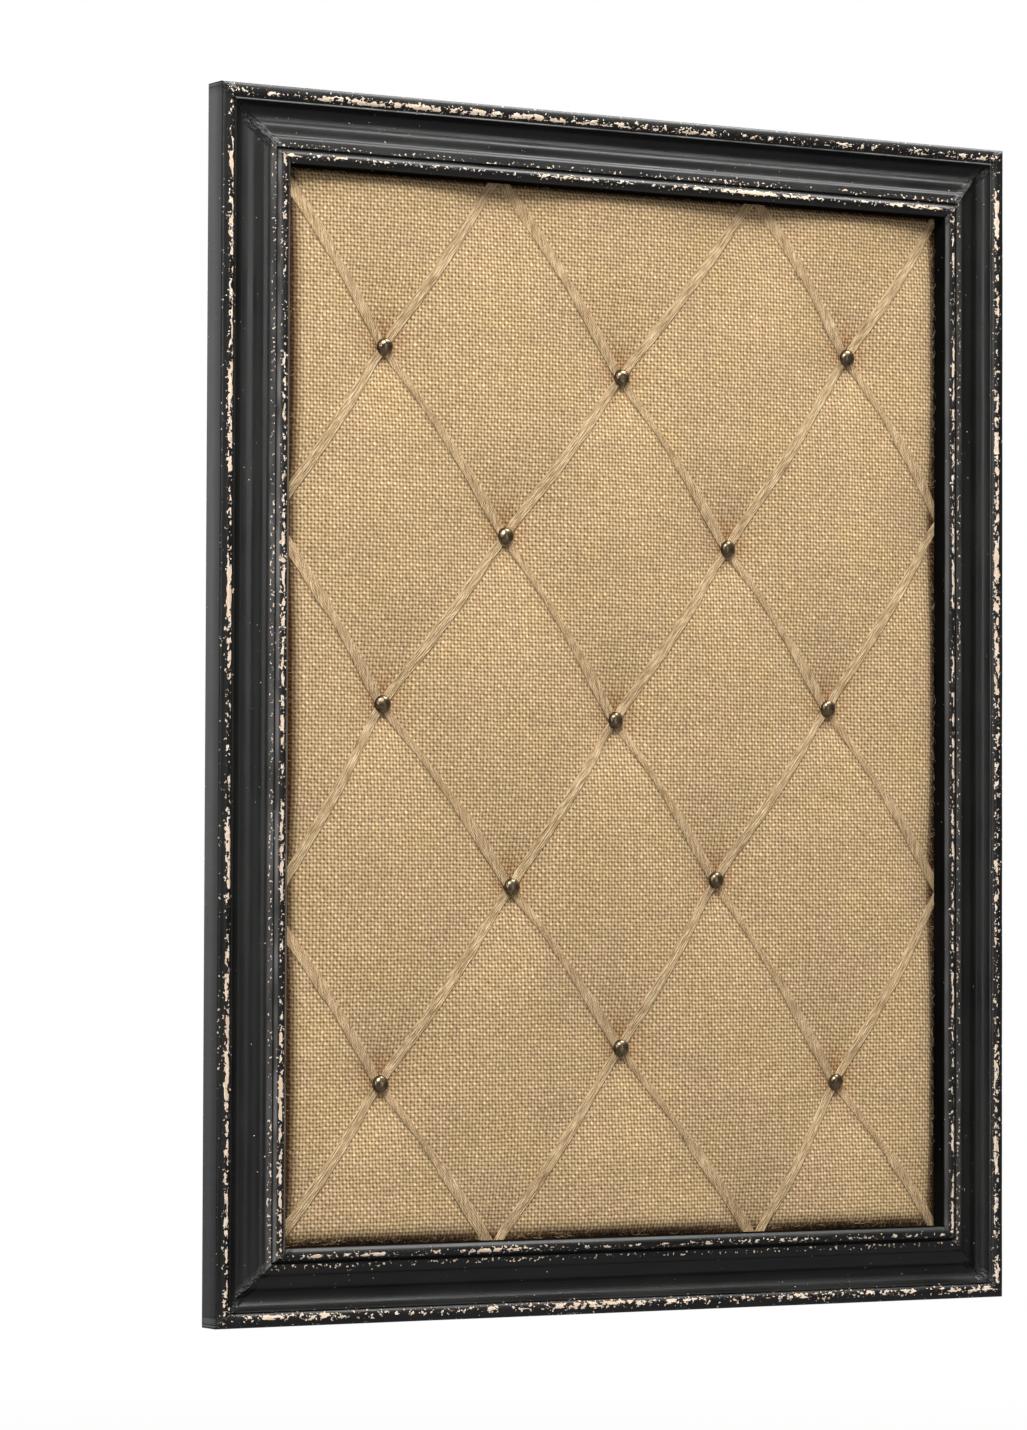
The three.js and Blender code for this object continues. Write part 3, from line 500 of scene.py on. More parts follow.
def jute_strands(name, width, colours, twist):
    """Flat jute tape: raw strands laid side by side, long-haired and slightly lustrous.

    The eye gets fine streaks along the tape; in the twisted tapes they run aslant, 1 mm apart.
    """
    material, add = new_material(name)
    uv = add("UVMap.weave")
    run, aside, _ = add("SeparateXYZ", uv).outputs
    slant = add("*+", run, twist, aside)
    hairs = add("TexNoise", add("CombineXYZ", add("*", run, 0.07), slant), 1500, 4, 0.7)
    blend = add("*+", add("TexNoise", uv, 55, 3), 0.15, hairs)
    colour = add("ValToRGB", blend, stops=zip((0.44, 0.57, 0.68), colours))
    # Painted shade: the outermost strands on both sides of the tape are darkened, for the shadow at its edges
    painted_edge_shade = add("MapRange", add("Math.ABSOLUTE", aside), width * 0.36, width * 0.5, 1.0, 0.8)
    return finish(material, (hairs, 1.0, 0.5 * MM), Base_Color=add("VectorMath.SCALE", colour, painted_edge_shade),
                  Roughness=0.72, Sheen_Weight=0.1, Specular_IOR_Level=0.3)


def loose_jute():
    """Single jute hairs that have worked loose: pale straw, a little lustrous."""
    material, add = new_material("loose_jute_hair")
    tint = add("TexNoise", add("TexCoord").outputs["Object"], 120)
    return finish(material, Base_Color=add("ValToRGB", tint, stops=[(0.3, "#a98455"), (0.7, "#e6cb9a")]),
                  Roughness=0.6)


def antiqued_brass():
    """Lacquered brass upholstery tacks, darkened and tumbled: near-black brown low down, warm on the dome.

    The clear lacquer puts a white glint on the brown metal.
    """
    material, add = new_material("antiqued_brass")
    blotch = add("TexNoise", add("TexCoord").outputs["Object"], 420, 4)
    worn = add("*+", add("Attribute.rub").outputs["Fac"], 0.45, blotch)
    colour = add("ValToRGB", worn, stops=[(0.35, "#2c231a"), (0.62, "#504435"), (0.95, "#8b785c")])
    rough = add("MapRange", blotch, 0.3, 0.7, 0.36, 0.2)
    return finish(material, (blotch, 0.3, 0.2 * MM), Base_Color=colour, Roughness=rough, Metallic=1.0,
                  Coat_Weight=0.35, Coat_Roughness=0.2)


def zinc_plate():
    """Bright zinc plate on mild steel: cool pale grey with a fine spangle and faint yellowing."""
    material, add = new_material("zinc_plated_steel")
    spot = add("TexCoord").outputs["Object"]
    spangle = add("TexVoronoi", spot, 900).outputs["Distance"]
    cloud = add("TexNoise", spot, 240, 4)
    colour = add("ValToRGB", cloud, stops=[(0.3, "#8f9498"), (0.6, "#b4b8ba"), (0.85, "#c4bfae")])
    return finish(material, (cloud, 0.25, 0.1 * MM), Base_Color=colour, Metallic=1.0,
                  Roughness=add("MapRange", spangle, 0.0, 0.8, 0.28, 0.46))


def screen_back_hardboard():
    """Hardboard, rough side out: brown pressed fibre with the print of the press screen, 1.4 mm apart."""
    material, add = new_material("screen_back_hardboard")
    spot = add("TexCoord").outputs["Object"]
    across, _, up = add("SeparateXYZ", spot).outputs
    turns = [add("*", way, 2 * math.pi / (1.4 * MM)) for way in (across, up)]
    screen = add("*", *(add("Math.SINE", turn) for turn in turns))
    fibre = add("TexNoise", spot, 700, 5)
    cloud = add("TexNoise", spot, 22, 5)
    blend = add("*+", cloud, 0.7, add("*", fibre, 0.5))
    colour = add("ValToRGB", blend, stops=[(0.4, "#4e3522"), (0.6, "#6e4c31"), (0.8, "#8b6544")])
    return finish(material, (add("*+", screen, 0.4, fibre), 0.6, 0.3 * MM), Base_Color=colour,
                  Roughness=0.85, Specular_IOR_Level=0.25)


def polyester_batting():
    """White polyester wadding: fluffy, fully matt, with soft 8 mm clouds of fibre."""
    material, add = new_material("polyester_batting")
    fluff = add("TexNoise", add("TexCoord").outputs["Object"], 130, 8, 0.7)
    return finish(material, (fluff, 0.8, 1 * MM), Roughness=1.0, Sheen_Weight=0.3,
                  Base_Color=add("ValToRGB", fluff, stops=[(0.3, "#cfcbc1"), (0.7, "#f2f0ea")]))


# Shapes of the pieces

def moulding_section():
    """Closed section (inset, level) of the moulding in metres: splined curves and the flats of the back."""
    face = [np.array([[0, BEVEL], [0, 14]], float), spline(OUTER_BEAD, 5), np.array(QUIRK, float),
            spline(COVE, 6), spline(STEP, 5)[1:], np.array(GROOVE, float), spline(INNER_BEAD, 6)]
    back = np.array([[RAIL_WIDTH, LIP_LEVEL], [RABBET, LIP_LEVEL], [RABBET, 0], [BEVEL, 0]])
    return np.vstack(face + [back]) * MM


def turned(points, turn, x, z):
    """Turns points about Y by a number of quarter turns and moves them, as the rails are placed."""
    c, s = [(1, 0), (0, 1), (-1, 0), (0, -1)][turn % 4]
    across, deep, up = np.moveaxis(points, -1, 0)
    return join(across * c + up * s, deep, up * c - across * s) + (x, 0, z)


def rail_shape(length, index):
    """Rail: the section carried along X; at inset u it ends at plus and minus (length / 2 - u).

    Everything in front of 15 mm but the very top wavers by 0.07 mm over 60 mm and 0.012 mm over 9 mm, which
    keeps it hand-made. A gap of 0.06 mm is left at each mitre.
    """
    inset, level = moulding_section().T
    share = np.linspace(-1, 1, max(int(length / (4 * MM)), 60))
    along = share[:, None] * (length / 2 - inset - 0.06 * MM)
    wavy = 0.07 * MM * ripple(along, inset * 3, 60 * MM, 20 + index)
    wavy = wavy + 0.012 * MM * ripple(along, inset, 9 * MM, 30 + index)
    moves = (level > 15 * MM) & (np.abs(level - RAIL_DEPTH * MM) > 0.4 * MM)
    points = join(along, -np.where(moves, level + wavy, level), inset)
    return points, tube_faces(*along.shape, turned_out=True)


def mark_moulding(rail, length, turn, x, z, index):
    """Stores (place along, inset, way to the mitre) of each point, turned back to the rail's own axes."""
    mesh = rail.data
    points = np.zeros(3 * len(mesh.vertices), np.float32)
    mesh.vertices.foreach_get("co", points)
    along, _, inset = turned(points.reshape(-1, 3) - (x, 0, z), -turn, 0, 0).T
    # Each rail has its own stretch of the pattern
    start = 2.3 * index
    store(mesh, "moulding", join(along + start, inset, length / 2 - inset - np.abs(along)))
    for key, (outer, inner) in (("handling", HANDLING[index]), ("burnish", RUBBED_AND_PAINTED_SHEEN[index])):
        store(mesh, key, np.where(inset < 22 * MM, outer, inner))


def cloth_shape(columns, rows):
    """Sheet of cloth: a grid over the panel's front, then round its edge and 22 mm over the back.

    The weave's map is the place on the flat cloth, drawn a tenth of the way towards a tack within some 16 mm
    of it. The painted shade of the tuft, a darkening of the dip round each tack, fades over 12 mm round a
    place
    5 mm above each tack.
    """
    gx, gz = np.meshgrid(np.linspace(-HALF_WIDTH, HALF_WIDTH, columns),
                         np.linspace(-HALF_HEIGHT, HALF_HEIGHT, rows), indexing="ij")
    front = join(gx, -cloth_level(gx, gz), gz).reshape(-1, 3)
    rim = grid_rim(columns, rows)
    edge = front[rim]
    edge_level = bpy.context.scene.board_cloth.edge_level
    # Rings of the turned edge: inset over the back, level, and way from the front's edge
    hem = 22
    turns = [(0, edge_level - 2.2 * MM, 2.2), (0, HEM_LEVEL + 1.1 * MM, 6.3),
             (0.3, HEM_LEVEL + 0.35 * MM, 7.1), (1.1, HEM_LEVEL + 0.06 * MM, 8)]
    turns += [(inset, HEM_LEVEL, inset + 7) for inset in (5, 12, 17, hem)]
    on_side = np.abs(edge[:, 0]) >= HALF_WIDTH - 1e-7
    half = np.where(on_side, HALF_WIDTH, HALF_HEIGHT)
    other_half = np.where(on_side, HALF_HEIGHT, HALF_WIDTH)
    loops = []
    for inset, level, _ in turns:
        ragged = 0.5 * MM * ripple(edge[:, 0], edge[:, 2], 18 * MM, 41) if inset == hem else 0
        inward = 1 - (inset * MM + ragged) / half
        beside = 1 - inset * MM / other_half
        loops.append(join(edge[:, 0] * np.where(on_side, inward, beside), -level,
                          edge[:, 2] * np.where(on_side, beside, inward)))
    points = np.vstack([front, *loops])
    ring = np.concatenate([rim, np.arange(len(front), len(points))])
    wrap = ring[grid_faces(len(turns) + 1, len(rim), closed=True)]
    faces = np.vstack([grid_faces(columns, rows)[:, ::-1], wrap])
    run = np.repeat([0] + [way * MM for _, _, way in turns], [len(front)] + [len(edge)] * len(turns))
    base = np.vstack([front] + [edge] * len(turns))
    flat = join(base[:, 0] * (1 + run / HALF_WIDTH), base[:, 2] * (1 + run / HALF_HEIGHT))
    pull = np.zeros_like(flat)
    tuft = np.zeros(len(points))
    for i, j in TACK_SITES:
        away = points[:, [0, 2]] - site(i, j)
        pull += away * (0.10 * np.exp(-(np.hypot(*away.T) / (16 * MM)) ** 2))[:, None]
        # Painted shade in the dip round each tack, strongest 5 mm above it where the cloth turns down
        above = np.hypot(away[:, 0], away[:, 1] - 5 * MM)
        tuft = np.maximum(tuft, 0.55 * np.exp(-(above / (12 * MM)) ** 2))
    # Reach of the lip's shade: (start, fade) from the left, right, top and bottom edges
    x, _, z = points.T
    reaches = [(HALF_WIDTH + x, 10, 8.5), (HALF_WIDTH - x, 7, 3),
               (HALF_HEIGHT - z, 5.5, 3), (HALF_HEIGHT + z, 6, 7)]
    painted_lip_shade = np.max([1 - smooth_step((away / MM - start) / fade) for away, start, fade in reaches], axis=0)
    return points, faces, flat + pull, np.where(run > 0, 0, tuft), np.where(run > 0, 0, painted_lip_shade)


def batting_shape(columns, rows):
    """Pad: the cloth's front lowered 1.5 mm by the cloth and a small gap, over a flat back at the board."""
    low, high = box_of("batting_pad")
    gx, gz = np.meshgrid(np.linspace(low[0], high[0], columns),
                         np.linspace(low[2], high[2], rows) - BOARD_MIDDLE, indexing="ij")
    top = join(gx, 1.5 * MM - cloth_level(gx, gz), gz).reshape(-1, 3)
    bottom = top * (1, 0, 1) + (0, float(high[1]), 0)
    faces = grid_faces(columns, rows)
    rim = grid_rim(columns, rows)
    side = np.concatenate([rim, rim + len(top)])[grid_faces(2, len(rim), closed=True)]
    return np.vstack([top, bottom]), np.vstack([faces[:, ::-1], faces + len(top), side])


def patch_level(i, j):
    """Level of the cloth under a crossing, which is the highest of the four corners of its patch."""
    centre = site(i, j)
    half_width = 3 * MM
    found = []
    for a, b in ((1, 1), (1, -1), (-1, 1), (-1, -1)):
        way = site(i + a, j + b) - centre
        way /= np.hypot(*way)
        corner = centre + way * CROSSING + np.array([-way[1], way[0]]) * half_width
        found.append(float(cloth_level(corner[:1], corner[1:])[0]))
    return max(found)


def tape_line(route):
    """Middle line of a tape: points 1.9 mm apart on the straight runs between the sites of its route.

    Gives per point its place, its share of the run, the nearest site's index and its distance, the way
    travelled, and the direction to the side, which is smoothed over nine points.
    """
    sites = np.array([site(i, j) for i, j in route])
    runs = np.hypot(*np.diff(sites, axis=0).T)
    centres, shares, runs_at = [], [], []
    for k, run in enumerate(runs):
        share = np.linspace(0, 1, max(int(run / (1.9 * MM)), 12), endpoint=k == len(runs) - 1)
        centres.append(sites[k] + (sites[k + 1] - sites[k]) * share[:, None])
        shares.append(share)
        runs_at.append(np.full(len(share), k))
    centre, share, run_at = np.vstack(centres), np.concatenate(shares), np.concatenate(runs_at)
    near = np.where(share < 0.5, run_at, run_at + 1)
    away = np.minimum(share, 1 - share) * runs[run_at]
    travelled = np.concatenate([[0], np.cumsum(np.hypot(*np.diff(centre, axis=0).T))])
    heading = np.gradient(centre, axis=0)
    padded = np.vstack([heading[:1]] * 4 + [heading] + [heading[-1:]] * 4)
    heading = join(*(np.convolve(part, np.ones(9) / 9, mode="valid") for part in padded.T))
    heading /= np.hypot(*heading.T)[:, None]
    return centre, share, near, away, travelled, join(-heading[:, 1], heading[:, 0])


def tape_shape(route, width, strands, upper, seed):
    """Tape: a section of rounded strands carried along the straight runs between tacks.

    Width at share s of a run is width * (pinch + (1 - pinch) * sin(pi s) to the power 0.6). The section's top
    is a row of half-round strands, and its base bridges the crease from edge to edge of the tape.
    Near a crossing the base eases to the crossing's level, and an upper tape adds a lower one's height.
    """
    pinch = bpy.context.scene.board_tapes.pinch
    edge_level = bpy.context.scene.board_cloth.edge_level
    rng = np.random.default_rng(seed)
    centre, share, near, away, travelled, side = tape_line(route)
    ends_here = [i % CELLS == 0 or j % CELLS == 0 for i, j in route]
    edge_site = np.array(ends_here)[near]
    patch = np.array([edge_level if end else patch_level(*at) for end, at in zip(ends_here, route)])[near]
    spread = pinch + (1 - pinch) * np.sin(np.pi * share) ** 0.6
    if not upper:
        # A lower tape is half twisted on its way down: narrow after a tack, and fanned out before the next
        down = share if route[-1][1] < route[0][1] else 1 - share
        spread = np.interp(down, [0, 0.12, 0.35, 0.8, 1], [0.66, 0.6, 0.5, 0.98, 0.7])
    spread = np.where(edge_site, np.maximum(spread, 0.9), spread)
    loose = 1 + 0.05 * ripple(travelled, 0, 34 * MM, seed + 3, waves=5)
    half = width / 2 * spread * loose
    # Across the section: shares of the half width and heights of the strands above the base
    per_strand = 5
    steps = np.arange(strands * per_strand + 1) / (strands * per_strand)
    inside = (steps * strands) % 1.0
    bead = np.sqrt(np.clip(1 - (2 * inside - 1) ** 2, 0, 1))
    crown = np.sqrt(np.clip(1 - (2 * steps - 1) ** 4, 0, 1))
    tall = 0.30 * MM + 0.34 * MM * bead
    offsets = 1 - 2 * steps
    strand_of = np.minimum((steps * strands).astype(int), strands - 1)
    wander = join(*(ripple(travelled, 0, 26 * MM, int(rng.integers(1e6)), waves=5) for _ in range(strands)))
    lean = wander[:, strand_of] * (0.04 if upper else 0.07)
    rise = 1 + (0.06 if upper else 0.09) * wander[:, strand_of[::-1]]
    aside = (offsets + lean * crown) * half[:, None]
    limit = np.array([HALF_WIDTH, HALF_HEIGHT]) - 0.5 * MM
    place = np.clip(centre[:, None] + side[:, None] * aside[..., None], -limit, limit)
    levels = cloth_level(place[..., 0], place[..., 1])
    bridge = np.maximum(levels[:, :1] * (1 - steps) + levels[:, -1:] * steps, levels)
    calm = smooth_step((away - CROSSING) / (6 * MM))[:, None]
    base = np.maximum(bridge * calm + patch[:, None] * (1 - calm), levels)
    # An upper tape climbs a lower one with the gaps round it, and more where both go under the lip
    climb = (1 - smooth_step((away - CROSSING) / (9 * MM))) * np.where(edge_site, 1.4, 1.0) * MM
    gap = 0.12 * MM
    bottom = base + gap + (climb[:, None] if upper else 0)
    squeeze = 0.75 + 0.25 * smooth_step(away / (8 * MM))[:, None]
    top = bottom + tall * crown**0.5 * rise * squeeze + 0.08 * MM
    ends = [len(steps) - 1, len(steps) // 2, 0]
    ring = np.concatenate([join(place[..., 0], -top, place[..., 1]),
                           join(place[:, ends, 0], -bottom[:, ends], place[:, ends, 1])], axis=1)
    uv = join(travelled[:, None] + seed * 0.37, np.concatenate([offsets, offsets[ends]]) * width / 2)
    return ring.reshape(-1, 3), tube_faces(*ring.shape[:2]), uv.reshape(-1, 2)


def tack_shape(i, j, seed):
    """Tack: a domed head with a rolled rim over a pointed shank, a profile turned about its axis and tipped.

    The dome's radius falls as the cosine to the power 0.92 and its height rises as the sine. Dents of
    0.07 mm lie some 4 mm apart. The head sits 1.95 mm over the cloth, on two tapes and their gaps.
    """
    sizes = bpy.context.scene.board_tacks
    radius, height = sizes.head_radius, sizes.head_height
    angle = np.linspace(0, np.pi / 2, 12)
    dome = join(radius * np.cos(angle) ** 0.92, height * (0.12 + 0.88 * np.sin(angle)))
    shank, point = 0.9 * MM, 0.02 * MM
    profile = np.vstack([
        [(point, -10 * MM), (shank, -7.5 * MM), (shank, -0.1 * MM), (radius * 0.90, -0.12 * MM),
         (radius * 0.985, -0.02 * MM), (radius * 1.01, 0.16 * MM)], dome[:-1], [(point, height)]])
    sides = 36
    turn = np.linspace(0, 2 * np.pi, sides, endpoint=False)
    points = join(profile[:, :1] * np.cos(turn), -profile[:, 1:], profile[:, :1] * np.sin(turn))
    head = profile[:, 1:] > 0
    points[..., 1] -= 0.07 * MM * ripple(points[..., 0] + seed, points[..., 2], 4 * MM, seed, waves=6) * head
    tip_x, tip_z = np.random.default_rng(seed).uniform(-0.09, 0.09, 2)
    points[..., 1] += np.where(head, points[..., 0] * tip_x + points[..., 2] * tip_z, 0)
    x, z = site(i, j)
    points += (x, -(patch_level(i, j) + 1.95 * MM), z + BOARD_MIDDLE)
    rub = np.broadcast_to(np.clip(profile[:, 1:] / height, 0, 1), points.shape[:2]).ravel()
    return points.reshape(-1, 3), tube_faces(len(profile), sides, turned_out=True), rub


def hair_shape(count, seed):
    """Loose hairs: thin three-sided tubes on parabolas that leave the cloth, arch and end in the air.

    A point at share t of a hair of length L stands lift * 4 t (1 - t / 1.6) over its root's level.
    """
    rng = np.random.default_rng(seed)
    half = np.array([[HALF_WIDTH], [HALF_HEIGHT]])
    roots = rng.uniform(-1, 1, (2, count)) * (half - 6 * MM)
    # Two in five hairs stand by the frame, where cut yarn ends and folds work loose
    by_edge = rng.uniform(size=count)
    rims = half - (5.5 + np.array([[2.5], [3]]) * rng.uniform(size=(2, count))) * MM
    x, z = np.where([by_edge < 0.26, (by_edge > 0.26) & (by_edge < 0.4)], np.sign(roots) * rims, roots)
    turn = rng.uniform(0, 2 * np.pi, count)
    length = rng.uniform(1.8, 5.5, count) * MM
    lift = rng.uniform(0.25, 0.9, count) * MM * np.where(by_edge < 0.4, rng.uniform(0.6, 2.6, count), 1)
    curl = rng.uniform(-1.2, 1.2, count)
    joints, sides, lip = 6, 3, 5.3 * MM
    t = np.linspace(0, 1, joints)
    bend = turn[:, None] + curl[:, None] * t
    px = np.clip(x[:, None] + length[:, None] * t * np.cos(bend), lip - HALF_WIDTH, HALF_WIDTH - lip)
    pz = np.clip(z[:, None] + length[:, None] * t * np.sin(bend), lip - HALF_HEIGHT, HALF_HEIGHT - lip)
    level = cloth_level(px, pz) + lift[:, None] * 4 * t * (1 - t / 1.6) - 0.1 * MM
    centre = join(px, -level, pz + BOARD_MIDDLE)
    ahead = np.gradient(centre, axis=1)
    ahead /= np.linalg.norm(ahead, axis=-1, keepdims=True)
    flat = np.cross(ahead, (0, 1, 0))
    flat /= np.maximum(np.linalg.norm(flat, axis=-1, keepdims=True), 1e-6)
    up = np.cross(flat, ahead)
    thick = 0.075 * MM * (1 - 0.7 * t)[None, :, None]
    around = 2 * np.pi * np.arange(sides) / sides
    points = np.stack([centre + (flat * math.cos(a) + up * math.sin(a)) * thick for a in around], axis=2)
    start = joints * sides * np.arange(count)[:, None]
    tubes = (grid_faces(joints, sides, closed=True) + start[:, None]).reshape(-1, 4)
    caps = np.concatenate([start + (2, 1, 0), start + (15, 16, 17)])
    return points.reshape(-1, 3), tubes.tolist() + caps.tolist()


# Right half of a ring's outline, as shares of its half width and its drop
RING_OUTLINE = [(0, 0), (0.35, 0), (0.66, 0), (0.84, 0.02), (0.97, 0.13), (1, 0.32), (0.92, 0.57),
                (0.72, 0.8), (0.4, 0.95), (0, 1)]


def ring_shape(node):
    """Ring: a round wire carried round a closed curve through the ring's outline, in the ring's own plane."""
    low, high = box_of(node)
    wire, half_width, drop, steps = 0.98 * MM, 8 * MM, 13 * MM, 6
    half = np.array(RING_OUTLINE) * (half_width, -drop)
    loop = np.vstack([half, half[1:-1][::-1] * (-1, 1)])
    # Two points more at either end let the curve close smoothly, and their spans are cut off again
    line = spline(np.vstack([loop[-2:], loop, loop[:3]]), steps)[2 * steps:-2 * steps - 1]
    centre = np.array([(low[0] + high[0]) / 2, (low[1] + high[1]) / 2, high[2] - MM])
    ahead = np.roll(line, -1, axis=0) - np.roll(line, 1, axis=0)
    ahead /= np.hypot(*ahead.T)[:, None]
    out = join(ahead[:, 1], -ahead[:, 0])
    turn = np.linspace(0, 2 * np.pi, 14, endpoint=False)
    flat = line[:, None] + out[:, None] * (wire * np.cos(turn))[:, None]
    points = join(flat[..., 0], wire * np.sin(turn), flat[..., 1]) + centre
    rows, columns = points.shape[:2]
    ring = np.concatenate([np.arange(rows * columns), np.arange(columns)])
    return points.reshape(-1, 3), ring[grid_faces(rows + 1, columns, closed=True)]


# Sizes and colours that a user would change

def size(name, description, default, unit="LENGTH"):
    """Property for a number with a unit."""
    return bpy.props.FloatProperty(
        name=name, description=description, default=default, unit=unit, precision=5)


class MouldingSizes(bpy.types.PropertyGroup):
    """Look of the painted moulding."""
    wear: bpy.props.FloatProperty(
        name="Wear", description="How far the paint is rubbed through", default=0.0, min=-0.2, max=0.2)
    wood: bpy.props.FloatVectorProperty(
        name="Wood", description="Colour of the bare wood", subtype="COLOR", default=srgb("#e6d7c4")[:3],
        min=0, max=1)


class ClothSizes(bpy.types.PropertyGroup):
    """Form and weave of the burlap."""
    thread_pitch: size("Thread pitch", "Distance between warp yarns", 2.12 * MM)
    tuft_level: size("Tuft level", "Level of the cloth under a tack", 8.9 * MM)
    edge_level: size("Edge level", "Level of the cloth under the lip", 10.0 * MM)
    crown_level: size("Crown level", "Level of a pillow's middle", 16.2 * MM)
    tape_rise: size("Rise under tapes", "Share of the crown's rise reached under a tape", 0.82, "NONE")
    crease_softness: size("Crease softness", "Rounds the bottom of the creases", 0.05, "NONE")
    shoulder: size("Shoulder", "Reach of the round edge at the lip", 12 * MM)


class TapeSizes(bpy.types.PropertyGroup):
    """Jute tapes."""
    upper_width: size("Upper width", "Width of the tapes that lean right", 6.4 * MM)
    lower_width: size("Lower width", "Width of the tapes that lean left", 7.6 * MM)
    pinch: size("Pinch", "Share of the width left at a tack", 0.7, "NONE")


class TackSizes(bpy.types.PropertyGroup):
    """Brass tacks."""
    head_radius: size("Head radius", "Radius of a tack's head", 4.9 * MM)
    head_height: size("Head height", "Height of a tack's dome", 3.5 * MM)


class StageSettings(bpy.types.PropertyGroup):
    """Floor, light and camera."""
    floor_drop: size("Floor drop", "How far the floor lies below the hung board", 0.3)
    key_power: size("Key power", "Power of the soft light above the front", 94.0, "POWER")
    fill_power: size("Fill power", "Power of the light above the right side", 30.0, "POWER")


# Operators, one for each group of pieces

class BuildRails(bpy.types.Operator):
    """Build the four painted rails"""
    bl_idname = "board.build_rails"
    bl_label = "Painted rails"

    def execute(self, context):
        paint = rubbed_black_paint()
        half_w, half_h = BOARD_WIDTH / 2, BOARD_HEIGHT / 2
        plans = [("rail_bottom", BOARD_WIDTH, 0, 0, -half_h), ("rail_top", BOARD_WIDTH, 2, 0, half_h),
                 ("stile_left", BOARD_HEIGHT, 1, -half_w, 0), ("stile_right", BOARD_HEIGHT, 3, half_w, 0)]
        for index, (name, length, turn, x, z) in enumerate(plans):
            points, faces = rail_shape(length, index)
            points = turned(points, turn, x, z + BOARD_MIDDLE).reshape(-1, 3)
            rail = make_piece(f"painted_{name}", points, faces, paint,
                              [f"frame_{name}"], crease=32)
            if "stile" in name:
                cut_pocket(rail, name.replace("stile", "hanger_strap"))
            mark_moulding(rail, length, turn, x, z + BOARD_MIDDLE, index)
        return {"FINISHED"}


def cut_pocket(rail, strap):
    """Cuts the hanger's pocket and screw hole out of a stile: two upright slots with round ends."""
    low, high = box_of(strap)
    x = float(low[0] + high[0]) / 2
    below_top = 2.15 * MM
    pivot = float(high[2]) - below_top
    turn = np.linspace(0, np.pi, 17)
    # Radius, reach below and above the ring's pivot, and depth in millimetres, of the pocket and the hole
    for radius, below, above, depth in np.array([(11, 38, 19, 5.6), (1.55, 25.55, -22.45, 14.5)]) * MM:
        outline = np.vstack([join(np.cos(turn) * radius, above - radius + np.sin(turn) * radius),
                             join(-np.cos(turn) * radius, radius - below - np.sin(turn) * radius)])
        rings = [join(outline[:, 0] + x, y, outline[:, 1] + pivot) for y in (10 * MM, -depth)]
        cutter = make_object("pocket_cutter", np.vstack(rings), tube_faces(2, len(outline)))
        cut = rail.modifiers.new("pocket", "BOOLEAN")
        cut.operation, cut.object, cut.solver = "DIFFERENCE", cutter, "EXACT"
        graph = bpy.context.evaluated_depsgraph_get()
        made = bpy.data.meshes.new_from_object(rail.evaluated_get(graph), depsgraph=graph)
        rail.modifiers.clear()
        rail.data = made
        bpy.data.objects.remove(cutter)


class BuildCloth(bpy.types.Operator):
    """Build the tufted burlap and the batting behind it"""
    bl_idname = "board.build_cloth"
    bl_label = "Burlap and batting"

    def execute(self, context):
        # The cloth carries two painted shades per point: in the dips round the tacks, and along the lip
        points, faces, flat, tuft, painted_lip_shade = cloth_shape(171, 229)
        burlap = make_piece("burlap_sheet", points + RAISED, faces, burlap_weave(),
                            ["burlap_cover"], uv=flat, stored={"tuft": tuft, "lip": painted_lip_shade})
        wall = burlap.modifiers.new("cloth thickness", "SOLIDIFY")
        wall.thickness, wall.offset = 0.75 * MM, -1
        points, faces = batting_shape(91, 121)
        batting = make_piece("batting", points + RAISED, faces, polyester_batting(),
                             ["batting_pad"])
        return {"FINISHED"}


class BuildTapes(bpy.types.Operator):
    """Build the ten crossed jute tapes"""
    bl_idname = "board.build_tapes"
    bl_label = "Jute tapes"

    def execute(self, context):
        sizes = context.scene.board_tapes
        upper, lower = sizes.upper_width, sizes.lower_width
        smooth = jute_strands("flat_jute_tape", upper, ("#7e643e", "#b4976f", "#dfc8a0"), 0.05)
        twisted = jute_strands("twisted_jute_tape", lower, ("#82663f", "#bc9c72", "#e6cda6"), 0.55)
        plans = [("right", [(0, 4), (0, 2), (0, 0), (2, 0), (4, 0)], 1, upper, 5, smooth),
                 ("left", [(0, 2), (0, 4), (0, 6), (2, 6), (4, 6)], -1, lower, 6, twisted)]
        for lean, starts, rise, width, strands, material in plans:
            for k, (i, j) in enumerate(starts):
                count = min(CELLS - i, CELLS - j if rise > 0 else j)
                route = [(i + step, j + rise * step) for step in range(count + 1)]
                points, faces, uv = tape_shape(route, width, strands, rise > 0, 100 + 10 * k + rise)
                make_piece(f"woven_tape_{lean}_{k + 1}", points + RAISED, faces, material,
                           [f"jute_tape_{lean}_{k + 1}"], uv=uv, crease=70)
        return {"FINISHED"}


class BuildTacks(bpy.types.Operator):
    """Build the thirteen domed brass tacks"""
    bl_idname = "board.build_tacks"
    bl_label = "Brass tacks"

    def execute(self, context):
        brass = antiqued_brass()
        for k, (i, j) in enumerate(TACK_SITES):
            points, faces, rub = tack_shape(i, j, 60 + k)
            make_piece(f"brass_tack_{k + 1}", points, faces, brass, [f"tack_{k + 1}"],
                       stored={"rub": rub}, crease=45)
        return {"FINISHED"}


class BuildHairs(bpy.types.Operator):
    """Build the loose jute hairs on the cloth"""
    bl_idname = "board.build_hairs"
    bl_label = "Loose jute hairs"

    def execute(self, context):
        points, faces = hair_shape(3400, 77)
        make_piece("loose_jute_hairs", points, faces, loose_jute(), crease=35)
        return {"FINISHED"}


